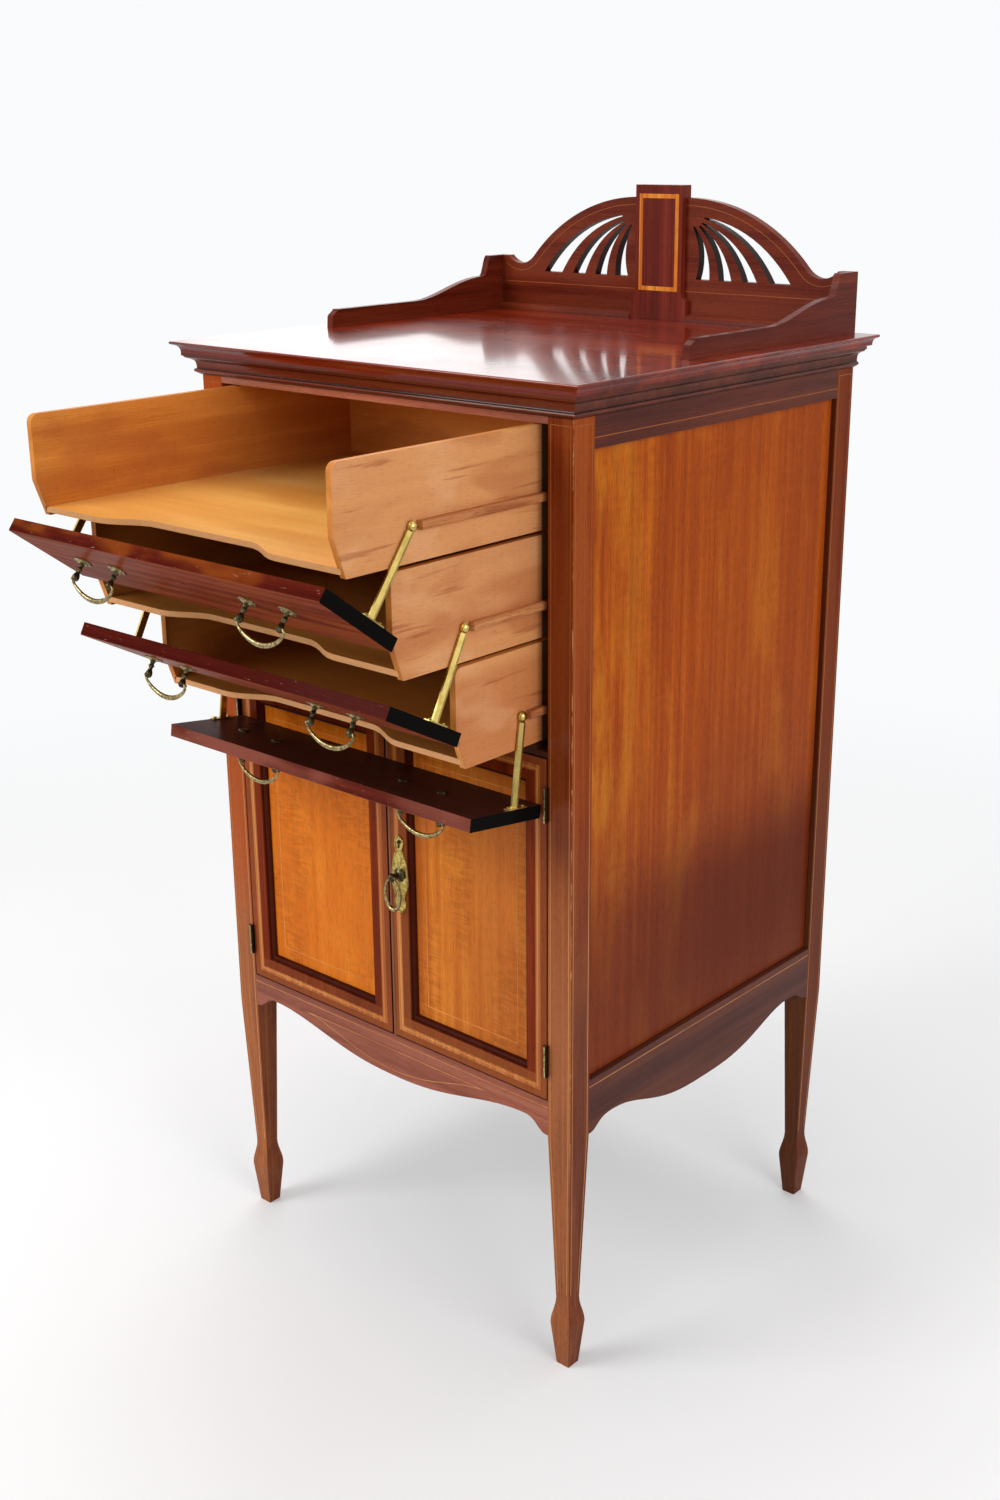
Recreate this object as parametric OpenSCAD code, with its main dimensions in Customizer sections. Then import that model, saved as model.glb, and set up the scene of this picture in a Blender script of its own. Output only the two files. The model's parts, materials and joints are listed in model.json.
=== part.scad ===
// Music cabinet: inlaid case on tapered legs, two panelled doors,
// three drawers with falling fronts, and a pierced gallery on the top.
// X runs to the right, Y from the front to the back, Z up from the floor.

/* [Case] */
// Width over the posts
case_w = 530; // [470:1:640]
// Depth over the posts
case_d = 488; // [460:1:560]
// Side of a square post
post_s = 31; // [28:0.5:34]
// Thickness of the rails, aprons and doors
frame_t = 18; // [16:0.5:22]
// Height from the cupboard floor to the divider board
cupboard_h = 386; // [300:1:460]
// Thickness of the divider board, the cupboard floor and the shelf
board_t = 11; // [9:0.5:14]
// Height of the top front rail and the top side rails below the top
rail_h = 31; // [27:1:40]
// Extra depth of the top side rails below the front rail
side_rail_drop = 24; // [16:1:30]
// Thickness of the side panels
panel_t = 8; // [6:0.5:9]
// Depth of the side panels behind the frame face
panel_recess = 6; // [4:0.5:8]
// Depth of the grooves that hold the panels
groove_d = 5; // [3:0.5:6]
// Thickness of the back panel
back_t = 6; // [4:0.5:9]
// Depth of the back panel in from the rear face of the posts
back_inset = 8; // [4:0.5:12]
// Height of the rear rails
rear_rail_h = 40; // [31:1:60]

/* [Legs] */
// Height of the tapered legs
leg_h = 290; // [200:1:400]
// Width of the leg at its neck
neck_s = 18; // [15:0.5:22]
// Height of the neck
neck_h = 86; // [75:1:110]
// Widest part of the spade foot
spade_s = 27; // [24:0.5:30]
// Height of the widest part of the spade foot
spade_h = 54; // [40:1:60]
// Width of the foot on the floor
toe_s = 17; // [14:0.5:20]

/* [Aprons] */
// Height of the front apron above the leg ends
apron_h = 41; // [36:1:60]
// Height of the side aprons above the leg ends
side_apron_h = 64.5; // [60:0.5:80]
// Drop of the front apron's belly below the leg ends
front_belly = 12.5; // [6:0.5:20]
// Drop of the side aprons' belly below the leg ends
side_belly = 18.8; // [8:0.1:24]
// Rise of the front apron's shoulders above the leg ends
front_shoulder = 15; // [8:0.5:20]
// Rise of the side aprons' shoulders above the leg ends
side_shoulder = 12.5; // [8:0.5:20]
// Distance of the front shoulders from the posts
front_shoulder_in = 34; // [24:1:50]
// Distance of the side shoulders from the posts
side_shoulder_in = 43; // [30:1:56]

/* [Top] */
// Thickness of the top board
top_t = 12; // [9:0.5:16]
// Overhang of the top board at the front and the sides
top_over = 25; // [20:1:32]
// Overhang of the top board at the rear
top_over_rear = 11; // [8:1:20]
// Height of the cornice strips below the top board
cornice_h = 24; // [20:1:30]
// Reach of the cornice at its top
cornice_reach = 16; // [13:1:19]

/* [Gallery] */
// Thickness of the gallery's back board
gallery_t = 11; // [9:0.5:14]
// Thickness of the gallery's side boards
gallery_side_t = 9; // [7:0.5:12]
// Distance of the gallery's outer faces from the top board's tip
gallery_in = 30; // [24:1:40]
// Distance of the gallery from the rear edge of the top board
gallery_rear = 3; // [2:0.5:8]
// Height of the gallery at its ends
gallery_end_h = 66; // [60:1:72]
// Height of the arch
arch_h = 140; // [126:1:160]
// Lowest height of the dip beside each end
dip_h = 57; // [52:0.5:59]
// Radius of the dip
dip_r = 29; // [26:1:34]
// Distance of the dip's lowest point from the outer face
dip_in = 39.5; // [36:0.5:46]
// Height of the feet of the slots
slot_foot_h = 48.5; // [44:0.5:52]
// Half width of the pilaster
pilaster_half_w = 34; // [30:1:38]
// Height of the pilaster
pilaster_h = 154; // [141:1:175]
// Thickness of the pilaster in front of the board
pilaster_t = 7; // [5:0.5:9]
// Half width of the pilaster's plinth
plinth_half_w = 41; // [39:1:46]
// Height of the pilaster's plinth
plinth_h = 25; // [18:1:30]
// Length of the gallery's side boards
gallery_side_len = 311; // [280:1:330]
// Height of the low part of the side boards
gallery_low_h = 20; // [17:1:24]

/* [Drawers] */
// Height of one drawer bay
bay_h = 106.3; // [104:0.1:130]
// How far drawer 1 is pulled out
pull_1 = 277.5; // [276:0.5:279]
// How far drawer 2 is pulled out
pull_2 = 211.5; // [210:0.5:213]
// How far drawer 3 is pulled out
pull_3 = 131; // [129.5:0.5:132.5]
// Thickness of the drawer fronts
front_t = 14; // [13:0.5:15]
// Gap between a drawer front and the posts
front_side_gap = 7; // [5:0.5:9]
// Gap above and below a drawer front
front_gap = 0.9; // [0.6:0.1:1.2]
// Gap between a drawer's side and the post beside it
drawer_side_gap = 15; // [15:0.5:17]
// Thickness of the drawer sides
drawer_side_t = 7.5; // [6:0.5:9]
// Height of the drawer sides
drawer_side_h = 102; // [96:0.5:102.5]
// Thickness of the drawer bottoms
drawer_bottom_t = 6; // [5:0.5:8]
// Thickness of the drawer backs
drawer_back_t = 8; // [6:0.5:10]
// Space behind a closed drawer
behind_drawer = 18; // [14:1:24]
// Height of the drawer sides' slanted foot
side_knee_h = 37; // [30:1:45]
// Slant of the drawer sides' foot
side_knee_in = 12.5; // [8:0.5:16]
// Setback of the bottom board's lobes behind the sides
lobe_in = 11; // [9:0.5:14]
// Setback of the bottom board's middle behind its lobes
recess_in = 22; // [14:1:30]
// Height of the runner bead on the drawer sides
runner_h = 8.4; // [7:0.2:10]
// Width of the runner bead
runner_w = 7.5; // [6:0.5:8]

/* [Falling fronts] */
// Length of the arms from the pivot to the inner face of the front
arm_len = 93; // [92:0.5:94]
// Height of the pivot above the bottom of its bay
pivot_up = 36; // [34:0.5:38]
// Height of the pivot above the bottom of the drawer side
pivot_side_up = 33.5; // [32:0.5:34]
// Thickness of the arms' strip
arm_t = 2.2; // [1.8:0.1:2.6]
// Width of the arms' strip
arm_w = 8.4; // [7:0.2:9.4]
// Radius of the arms' eyes
eye_r = 5.5; // [4.8:0.1:6]
// Radius of the pivot pins
pin_r = 2; // [1.6:0.1:2.4]
// Gap that a fallen front keeps to the drawer below
lean_gap = 1.2; // [1:0.1:1.6]
// Gap that the lowest fallen front keeps to the doors
door_clear = 2.6; // [2.4:0.1:3]

/* [Handles] */
// Middle of the left handles
handle_x_left = -134; // [-150:1:-120]
// Middle of the right handles
handle_x_right = 115; // [105:1:150]
// Spacing of the two posts of a handle
handle_gap = 55; // [50:0.5:60]
// Height of the handles above the pivots
handle_up = 20; // [14:0.5:24]
// Reach of the handle posts from the front's face
handle_reach = 18; // [16:0.5:22]
// Drop of the bails
bail_drop = 19.5; // [18:0.5:22]
// Radius of the bails' rod
bail_r = 1.9; // [1.5:0.1:2.3]
// Radius of the backplates
plate_r = 9; // [7:0.5:11]
// Radius of the round nuts inside
nut_r = 6; // [5:0.5:8]

/* [Doors] */
// Place of the joint between the doors, right of the middle
meeting_x = 4; // [0:0.5:8]
// Gap round each door
door_gap = 1; // [0.8:0.1:1.5]
// Width of the door frames
stile_w = 27.5; // [26:0.5:34]
// Width of the moulding round the door panels
moulding_w = 5.5; // [4:0.5:8]
// Thickness of the door panels
door_panel_t = 6; // [5:0.5:7]
// Depth of the door panels behind the face
door_panel_recess = 8; // [6:0.5:9]
// Width of the light banding
band_w = 7; // [5:0.5:8]
// Distance of the light banding from the door's edge
band_in = 9; // [6:0.5:10]
// Width of the bead on the right door's edge
bead_w = 4; // [3:0.1:4.4]
// Height of that bead above the door's face
bead_t = 1; // [0.6:0.1:1.2]
// Length of the butt hinges
hinge_l = 37; // [30:1:45]
// Height of the hinges' middles in from the door's ends
hinge_in = 48; // [40:1:70]
// Radius of the hinge knuckles
knuckle_r = 2.8; // [2.4:0.1:3.2]
// Thickness of the hinge leaves
leaf_t = 1.2; // [1:0.1:1.5]
// Width of the hinge leaves
leaf_w = 16; // [12:0.5:17]
// Middle of the escutcheon, right of the joint between the doors
escutcheon_in = 18; // [16:0.5:22]
// Height of the escutcheon's stud above the cupboard floor
stud_up = 203; // [150:1:260]
// Width of the ring pull
ring_w = 26; // [20:1:28]
// Length of the ring pull
ring_l = 41; // [34:1:44]

/* [Inside] */
// Height of the shelf's underside above the cupboard floor
shelf_up = 190; // [120:1:240]
// Distance of the shelf behind the posts
shelf_in = 20; // [10:1:60]
// Side of the shelf's battens
batten_s = 14; // [10:1:18]
// Height of the drawer guides
guide_h = 24; // [20:1:30]
// Distance of the guides' tongues from the front
guide_start = 120; // [116:1:140]

/* [Hidden] */

// Clearances: a running pin, a sliding runner, a panel in its groove
pin_gap = 0.06;
slide_gap = 0.4;
fit_gap = 0.2;
side_play = 1.5;
past = 1;
// Lap of the back panel in the rear rails
rear_lap = 4;

// Levels of the case
half_w = case_w / 2;
inner_x = half_w - post_s;
panel_out_x = half_w - panel_recess;
panel_in_x = panel_out_x - panel_t;
frame_in_x = half_w - frame_t;
panel_y0 = post_s;
panel_y1 = case_d - post_s;
floor_z = leg_h + apron_h;
divider_z = floor_z + cupboard_h;
bays_z = divider_z + board_t;
rail_z = bays_z + 3 * bay_h;
side_rail_z = rail_z - side_rail_drop;
side_apron_z = leg_h + side_apron_h;
top_z0 = rail_z + rail_h;
top_z = top_z0 + top_t;
back_y1 = case_d - back_inset;
back_y0 = back_y1 - back_t;
top_half_w = half_w + top_over;
top_rear_y = case_d + top_over_rear;

// Drawers, counted from the top
pulls = [pull_1, pull_2, pull_3];
side_set = front_t + 1;
drawer_out_x = inner_x - drawer_side_gap;
drawer_in_x = drawer_out_x - drawer_side_t;
drawer_len = back_y0 - behind_drawer - side_set;
front_half_w = inner_x - front_side_gap;
front_below = pivot_up - front_gap;
front_above = bay_h - pivot_up - front_gap;
back_drop = 6;
bottom_up = 3;
bottom_groove = 3;
side_corner_r = 9;
function bay_z(i) = bays_z + (3 - i) * bay_h;
function pivot_z(i) = bay_z(i) + pivot_up;
function pivot_y(i) = front_t + arm_len - pulls[i - 1];
function side_z(i) = pivot_z(i) - pivot_side_up;

// A fallen front turns until its lower inner edge meets what is below it:
// arm (1 - cos a) + below sin a = room, solved for the angle a
function lean_room(i) = i < 3
    ? side_set - front_t + pulls[i - 1] - pulls[i] - lean_gap
    : pulls[2] - front_t - door_clear;
corner_reach = sqrt(arm_len * arm_len + front_below * front_below);
function lean(i) = acos((arm_len - lean_room(i)) / corner_reach) - atan2(front_below, arm_len);

// The origin is under the middle of the whole cabinet as it stands, drawers out
front_tip_y = pivot_y(1) - (arm_len + front_t) * cos(lean(1)) - front_above * sin(lean(1));
shift_y = -(front_tip_y + top_rear_y) / 2;

// Gallery
gallery_half_w = top_half_w - gallery_in;
gallery_in_x = gallery_half_w - gallery_side_t;
gallery_rear_y = top_rear_y - gallery_rear;
gallery_y = gallery_rear_y - gallery_t;
gallery_corner_r = 9;

// Handles
handle_xs = [handle_x_left, handle_x_right];
shank_r = 2;
post_r = 2.6;
knob_r = 3.2;
knob_w = 4.4;
bail_pin_r = 1.4;
bail_gap = 0.8;
bail_x = handle_gap / 2 + knob_w / 2 + bail_gap + bail_r;

// Doors
door_z0 = floor_z + door_gap;
door_z1 = divider_z - door_gap;
door_outer_x = inner_x - door_gap;
door_left_x = meeting_x - door_gap;
door_right_x = meeting_x + door_gap;
band_d = 1;
hinge_axis_y = -(knuckle_r + fit_gap);
hinge_axis_x = inner_x - door_gap / 2;
hinge_pin_r = 1.4;
knuckle_gap = 0.3;
leaf_gap = 0.1;
hinge_zs = [door_z0 + hinge_in, door_z1 - hinge_in];

mahogany = [0.36, 0.15, 0.09];
dark_mahogany = [0.25, 0.1, 0.07];
red_mahogany = [0.45, 0.17, 0.09];
figured_mahogany = [0.62, 0.3, 0.11];
satinwood = [0.82, 0.5, 0.18];
drawer_wood = [0.76, 0.53, 0.3];
brass = [0.72, 0.62, 0.36];

// Helpers
module place() {
    translate([0, shift_y, 0]) children();
}

module box(low, high) {
    translate(low) cube(high - low);
}

module both_sides() {
    children();
    mirror([1, 0, 0]) children();
}

// A Y-Z outline drawn out along X
module along_x(points, x0, x1) {
    translate([x0, 0, 0]) rotate([90, 0, 90]) linear_extrude(x1 - x0) polygon(points);
}

// An X-Z outline drawn out along Y
module along_y(points, y0, y1) {
    translate([0, y1, 0]) rotate([90, 0, 0]) linear_extrude(y1 - y0) polygon(points);
}

module x_rod(r, x0, x1) {
    translate([x0, 0, 0]) rotate([0, 90, 0]) cylinder(r = r, h = x1 - x0, $fn = 48);
}

// A rod along Y towards the front, from y0 at its rear end
module y_rod(r, y0, length) {
    translate([0, y0, 0]) rotate([90, 0, 0]) cylinder(r = r, h = length, $fn = 48);
}

function reversed(list) = [for (k = [len(list) - 1 : -1 : 0]) list[k]];
function both_edges(middle, edge) = concat(
    [for (p = edge) [middle + p[0], p[1]]],
    [for (p = reversed(edge)) [middle - p[0], p[1]]]);
function smooth(u) = (1 - cos(180 * u)) / 2;
function arc(centre, r, a0, a1, steps) =
    [for (k = [0 : steps]) centre + r * [cos(a0 + (a1 - a0) * k / steps), sin(a0 + (a1 - a0) * k / steps)]];

// Posts with tapered legs and spade feet
foot_steps = 5;
leg_edge = concat(
    [[toe_s / 2, 0]],
    [for (k = [0 : foot_steps])
        let (u = k / foot_steps)
        [spade_s / 2 + (neck_s - spade_s) / 2 * smooth(u), spade_h + (neck_h - spade_h) * u]],
    [[post_s / 2, leg_h], [post_s / 2, top_z0]]);

module post(middle_y, groove_y) {
    middle_x = half_w - post_s / 2;
    difference() {
        intersection() {
            along_y(both_edges(middle_x, leg_edge), middle_y - post_s, middle_y + post_s);
            along_x(both_edges(middle_y, leg_edge), middle_x - post_s, middle_x + post_s);
        }
        box([panel_in_x, groove_y, side_apron_z - groove_d],
            [panel_out_x, groove_y + groove_d, side_rail_z + groove_d]);
    }
}

module hinge_recess() {
    for (z = hinge_zs)
        box([inner_x - past, -past, z - hinge_l / 2],
            [inner_x + leaf_t - door_gap / 2 + leaf_gap, leaf_w, z + hinge_l / 2]);
}

module post_front_right() {
    color(red_mahogany) place() difference() {
        post(post_s / 2, panel_y0 - groove_d);
        hinge_recess();
    }
}

module post_front_left() {
    mirror([1, 0, 0]) post_front_right();
}

module post_rear_right() {
    color(red_mahogany) place() post(case_d - post_s / 2, panel_y1);
}

module post_rear_left() {
    mirror([1, 0, 0]) post_rear_right();
}

// Case
module side_panels() {
    reach = groove_d - fit_gap;
    color(figured_mahogany) place() both_sides()
        box([panel_in_x, panel_y0 - reach, side_apron_z - reach],
            [panel_out_x, panel_y1 + reach, side_rail_z + reach]);
}

module panel_groove(z) {
    box([panel_in_x, panel_y0 - past, z], [panel_out_x, panel_y1 + past, z + groove_d]);
}

module side_rails() {
    color(dark_mahogany) place() both_sides() difference() {
        box([frame_in_x, panel_y0, side_rail_z], [half_w, panel_y1, top_z0]);
        panel_groove(side_rail_z);
    }
}

// Lower edge of an apron, from its middle to its end: belly, shoulder, ogee to the leg
function apron_edge(half, belly, shoulder, shoulder_in, bulge, hook, steps = 16) = concat(
    [for (k = [0 : steps])
        let (u = k / steps)
        [(half - shoulder_in) * u,
            leg_h - belly + (belly + shoulder) * smooth(pow(u, bulge))]],
    [for (k = [1 : steps / 2])
        let (u = k * 2 / steps)
        [half - shoulder_in + (shoulder_in - 4) * u, leg_h + shoulder * (1 - smooth(pow(u, hook)))]],
    [[half, leg_h]]);
function apron(middle, half, edge, top) = concat(
    [for (p = reversed(edge)) [middle - p[0], p[1]]],
    [for (k = [1 : len(edge) - 1]) [middle + edge[k][0], edge[k][1]]],
    [[middle + half, top], [middle - half, top]]);

front_edge = apron_edge(inner_x, front_belly, front_shoulder, front_shoulder_in, 1.2, 1.4);
side_half = (panel_y1 - panel_y0) / 2;
side_edge = apron_edge(side_half, side_belly, side_shoulder, side_shoulder_in, 1.5, 1.9);

module side_aprons() {
    color(mahogany) place() both_sides() difference() {
        along_x(apron(case_d / 2, side_half, side_edge, side_apron_z), frame_in_x, half_w);
        panel_groove(side_apron_z - groove_d);
    }
}

module front_rail() {
    color(mahogany) place() box([-inner_x, 0, rail_z], [inner_x, frame_t, top_z0]);
}

module front_apron() {
    color(mahogany) place() along_y(apron(0, inner_x, front_edge, floor_z), 0, frame_t);
}

module rear_rails() {
    color(dark_mahogany) place() for (z = [floor_z - rear_rail_h, top_z0 - rear_rail_h])
        box([-inner_x, back_y0 - rear_lap, z], [inner_x, back_y1, z + rear_rail_h]);
}

module back_panel() {
    color(dark_mahogany) place()
        box([-inner_x, back_y0, floor_z], [inner_x, back_y1, top_z0 - rear_rail_h]);
}

// A board that fills the case behind the front edge at y0
module case_board(z, y0, wide_x, rear_y) {
    box([-inner_x, y0, z], [inner_x, rear_y, z + board_t]);
    box([-wide_x, panel_y0, z], [wide_x, panel_y1, z + board_t]);
}

module divider_board() {
    notch_d = 5;
    notch_len = 45;
    color(mahogany) place() difference() {
        case_board(divider_z, 0, panel_in_x, back_y0);
        both_sides() box([drawer_out_x - past, -past, bays_z - notch_d],
            [inner_x + past, notch_len, bays_z + past]);
    }
}

module cupboard_shelves() {
    shelf_z = floor_z + shelf_up;
    color(dark_mahogany) place() {
        case_board(floor_z - board_t, frame_t, frame_in_x, back_y0 - rear_lap);
        box([-panel_in_x, panel_y0 + shelf_in, shelf_z], [panel_in_x, panel_y1, shelf_z + board_t]);
        both_sides() box([panel_in_x - batten_s, panel_y0 + shelf_in, shelf_z - batten_s - fit_gap],
            [panel_in_x, panel_y1, shelf_z - fit_gap]);
    }
}

// Guides: a strip on each side panel with a grooved tongue that carries the runner
module guide_rails() {
    groove_h = runner_h / 2 + slide_gap;
    runner_x = drawer_out_x + runner_w + slide_gap;
    color(dark_mahogany) place() both_sides() for (i = [1 : 3]) difference() {
        union() {
            box([inner_x, panel_y0, pivot_z(i) - guide_h / 2],
                [panel_in_x, panel_y1, pivot_z(i) + guide_h / 2]);
            box([drawer_out_x + side_play, guide_start, pivot_z(i) - guide_h / 2],
                [inner_x, panel_y1, pivot_z(i) + guide_h / 2]);
        }
        box([drawer_out_x, guide_start - past, pivot_z(i) - groove_h],
            [runner_x, panel_y1 + past, pivot_z(i) + groove_h]);
    }
}

// Top board: reach of its edge past the posts against the height
nose_r = 1.5;
nose_step = 1;
top_edge = concat(
    [[cornice_reach, top_z0]],
    [for (k = [0 : 5])
        let (u = k / 5)
        [cornice_reach + (top_over - nose_r - nose_step - cornice_reach) * (1 - cos(90 * u)),
            top_z0 + nose_step + (top_t - 2 * nose_r - 1.6 * nose_step) * sin(90 * u)]],
    arc([top_over - nose_r, top_z - nose_r], nose_r, -90, 90, 6));

module top_board() {
    side_line = both_edges(0, [for (p = top_edge) [half_w + p[0], p[1]]]);
    front_line = concat([for (p = top_edge) [-p[0], p[1]]],
        [[top_rear_y, top_z], [top_rear_y, top_z0]]);
    color(red_mahogany) place() intersection() {
        along_y(side_line, -top_over - past, top_rear_y);
        along_x(front_line, -top_half_w - past, top_half_w + past);
    }
}

// Cornice strips: reach of the moulding past the posts against the height.
// From its foot up: a half-round bead, a swelling curve, and a hollow under a square lip
cornice_z = top_z0 - cornice_h;
cornice_foot = 0.8;
slope_h = 2.3;
half_round_r = 2.1;
half_round = [4.6, cornice_z + 4.6];
swell = [4.3, cornice_z + 7.4];
swell_w = 2.9;
swell_z1 = top_z0 - 8.1;
lip_h = 3.4;
lip_step = 1.5;
hollow = [cornice_reach - 9, top_z0 - 7];
hollow_end = [cornice_reach - lip_step, top_z0 - lip_h];
cornice_edge = concat(
    [[0, cornice_z], [cornice_foot, cornice_z], [half_round[0], cornice_z + slope_h]],
    arc(half_round, half_round_r, -90, 90, 6),
    [swell],
    [for (k = [1 : 6])
        let (u = k / 6)
        swell + [swell_w * (1 - cos(90 * u)), (swell_z1 - swell[1]) * sin(90 * u)]],
    [for (k = [1 : 5])
        let (u = k / 5)
        hollow + [(hollow_end[0] - hollow[0]) * sin(90 * u), (hollow_end[1] - hollow[1]) * (1 - cos(90 * u))]],
    [[cornice_reach, top_z0 - lip_h], [cornice_reach, top_z0], [0, top_z0]]);

module cornice() {
    side_line = both_edges(0, [for (p = cornice_edge) [half_w + p[0], p[1]]]);
    front_line = concat([for (p = cornice_edge) [-p[0], p[1]]], [[case_d, top_z0], [case_d, cornice_z]]);
    color(dark_mahogany) place() difference() {
        intersection() {
            along_y(side_line, -cornice_reach - past, case_d);
            along_x(front_line, -half_w - cornice_reach - past, half_w + cornice_reach + past);
        }
        box([-half_w, 0, cornice_z - past], [half_w, case_d + past, top_z0 + past]);
    }
}

// Gallery back: an arch that runs down through a dip to each end.
// The arch is the circle that starts level beside the pilaster and touches the dip's circle.
dip_x = gallery_half_w - dip_in;
dip_run = dip_x - pilaster_half_w;
dip_rise = dip_h + dip_r - arch_h;
arch_r = (dip_run * dip_run + dip_rise * dip_rise - dip_r * dip_r) / (2 * (dip_r - dip_rise));
arch_end = atan2(dip_rise + arch_r, dip_run);
dip_end = asin((dip_h + dip_r - gallery_end_h) / dip_r);
gallery_outline = concat(
    [[0, 0], [0, arch_h]],
    arc([pilaster_half_w, arch_h - arch_r], arch_r, 90, arch_end, 24),
    arc([dip_x, dip_h + dip_r], dip_r, 180 + arch_end, 360 - dip_end, 10),
    [[gallery_in_x, gallery_end_h], [gallery_in_x, 0]]);

// Slots of the fan: where each starts and ends across the fan's foot, and its tip
fan_margin = 39.5;
fan_w = dip_run - fan_margin;
slot_starts = [0.11, 0.33, 0.56, 0.81];
slot_ends = [0.24, 0.45, 0.69, 1];
tip_xs = [11.5, 19.5, 23, 26];
tip_drops = [32, 31, 28, 22];
slot_bulge = 0.105;
tip_half = [0.7, 0.7];

// A bowed line from a to b that swells outwards
function bow(a, b, steps = 12) =
    let (d = b - a, n = [d[1], -d[0]])
    [for (k = [0 : steps])
        let (u = k / steps)
        a + u * d + 4 * slot_bulge * u * (1 - u) * n];

module fan_slot(k) {
    tip = [pilaster_half_w + tip_xs[k], arch_h - tip_drops[k]];
    inner_foot = [pilaster_half_w + fan_w * slot_starts[k], slot_foot_h];
    outer_foot = [pilaster_half_w + fan_w * slot_ends[k], slot_foot_h];
    polygon(concat(bow(outer_foot, tip + tip_half), reversed(bow(inner_foot, tip - tip_half))));
}

module gallery_back() {
    color(mahogany) place() translate([0, gallery_rear_y, top_z]) rotate([90, 0, 0])
        linear_extrude(gallery_t) both_sides() difference() {
            polygon(gallery_outline);
            for (k = [0 : 3]) fan_slot(k);
        }
}

plinth_flare_h = 8;
cap_step = 2;
pilaster_edge = concat(
    [[plinth_half_w, 0], [plinth_half_w, plinth_h]],
    [for (k = [1 : 5])
        let (u = k / 5)
        [plinth_half_w - (plinth_half_w - pilaster_half_w) * sin(90 * u), plinth_h + plinth_flare_h * (1 - cos(90 * u))]],
    [[pilaster_half_w, pilaster_h]]);
band_edge = 5.5;
band_strip_w = 5;
band_z0 = 34;
band_z1 = pilaster_h - 10;

module pilaster_band() {
    difference() {
        square([2 * (pilaster_half_w - band_edge), band_z1 - band_z0], center = true);
        square([2 * (pilaster_half_w - band_edge - band_strip_w), band_z1 - band_z0 - 2 * band_strip_w],
            center = true);
    }
}

module at_pilaster_band() {
    translate([0, gallery_y - pilaster_t + band_d, top_z + (band_z0 + band_z1) / 2])
        rotate([90, 0, 0]) children();
}

module gallery_pilaster() {
    color(mahogany) place() difference() {
        union() {
            translate([0, 0, top_z]) along_y(both_edges(0, pilaster_edge), gallery_y - pilaster_t, gallery_y);
            box([-pilaster_half_w, gallery_y, top_z + arch_h],
                [pilaster_half_w, gallery_rear_y - cap_step, top_z + pilaster_h]);
        }
        at_pilaster_band() linear_extrude(band_d + past) pilaster_band();
    }
}

module pilaster_banding() {
    color(satinwood) place() at_pilaster_band() linear_extrude(band_d) pilaster_band();
}

module gallery_moulding() {
    quarter = 9;
    color(mahogany) place() both_sides() along_x(
        concat([[gallery_y, top_z]], arc([gallery_y, top_z], quarter, 180, 90, 6)),
        plinth_half_w, gallery_in_x);
}

module gallery_sides() {
    y0 = gallery_rear_y - gallery_side_len;
    low = gallery_low_h;
    high = gallery_end_h;
    rise_len = 120;
    rise_y1 = gallery_rear_y - 46;
    rise_y0 = rise_y1 - rise_len;
    step_h = 24;
    step_run = 12;
    nose_h = 8;
    nose_run = 9;
    nose_in = 1;
    outline = concat(
        [[y0, 0], [y0 + nose_in, low - nose_h]],
        [for (k = [1 : 4]) [y0 + nose_in + nose_run * smooth(k / 4), low - nose_h + nose_h * k / 4]],
        [for (k = [0 : 10])
            let (u = k / 10)
            [rise_y0 + (rise_y1 - rise_y0) * u, low + (high - step_h - low) * smooth(pow(u, 0.9))]],
        [for (k = [1 : 5])
            let (u = k / 5)
            [rise_y1 + step_run * u, high - step_h + step_h * smooth(u)]],
        [[gallery_rear_y, high], [gallery_rear_y, 0]]);
    color(mahogany) place() both_sides() translate([0, 0, top_z])
        along_x(outline, gallery_in_x, gallery_half_w);
}

// Drawers
module at_drawer(i) {
    translate([0, side_set - pulls[i - 1], side_z(i)]) children();
}

module drawer_sides(i) {
    outline = concat(
        [[side_knee_in, 0], [0, side_knee_h]],
        arc([side_corner_r, drawer_side_h - side_corner_r], side_corner_r, 180, 90, 8),
        [[drawer_len, drawer_side_h], [drawer_len, 0]]);
    color(drawer_wood) place() at_drawer(i) both_sides() difference() {
        along_x(outline, drawer_in_x, drawer_out_x);
        translate([0, front_t + arm_len - side_set, pivot_side_up])
            x_rod(pin_r + pin_gap, drawer_in_x - past, drawer_out_x + past);
        box([drawer_in_x - past, -past, bottom_up],
            [drawer_in_x + bottom_groove, drawer_len + past, bottom_up + drawer_bottom_t]);
    }
}

module drawer_back(i) {
    color(drawer_wood) place() at_drawer(i)
        box([-drawer_in_x, drawer_len - drawer_back_t, bottom_up + drawer_bottom_t],
            [drawer_in_x, drawer_len, drawer_side_h - back_drop]);
}

// The bottom board's front edge: two lobes and a hollow between them
hollow_half_w = 70;
lobe_run = 60;
function edge_y(x) =
    let (u = max(0, min(1, (abs(x) - hollow_half_w) / lobe_run)))
    lobe_in + recess_in * (1 - smooth(u));

module drawer_bottom(i) {
    wide = drawer_in_x + bottom_groove - fit_gap;
    steps = 40;
    outline = concat(
        [for (k = [0 : steps]) let (x = wide * (2 * k / steps - 1)) [x, edge_y(x)]],
        [[wide, drawer_len], [-wide, drawer_len]]);
    color(drawer_wood) place() at_drawer(i) translate([0, 0, bottom_up])
        linear_extrude(drawer_bottom_t) polygon(outline);
}

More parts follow.
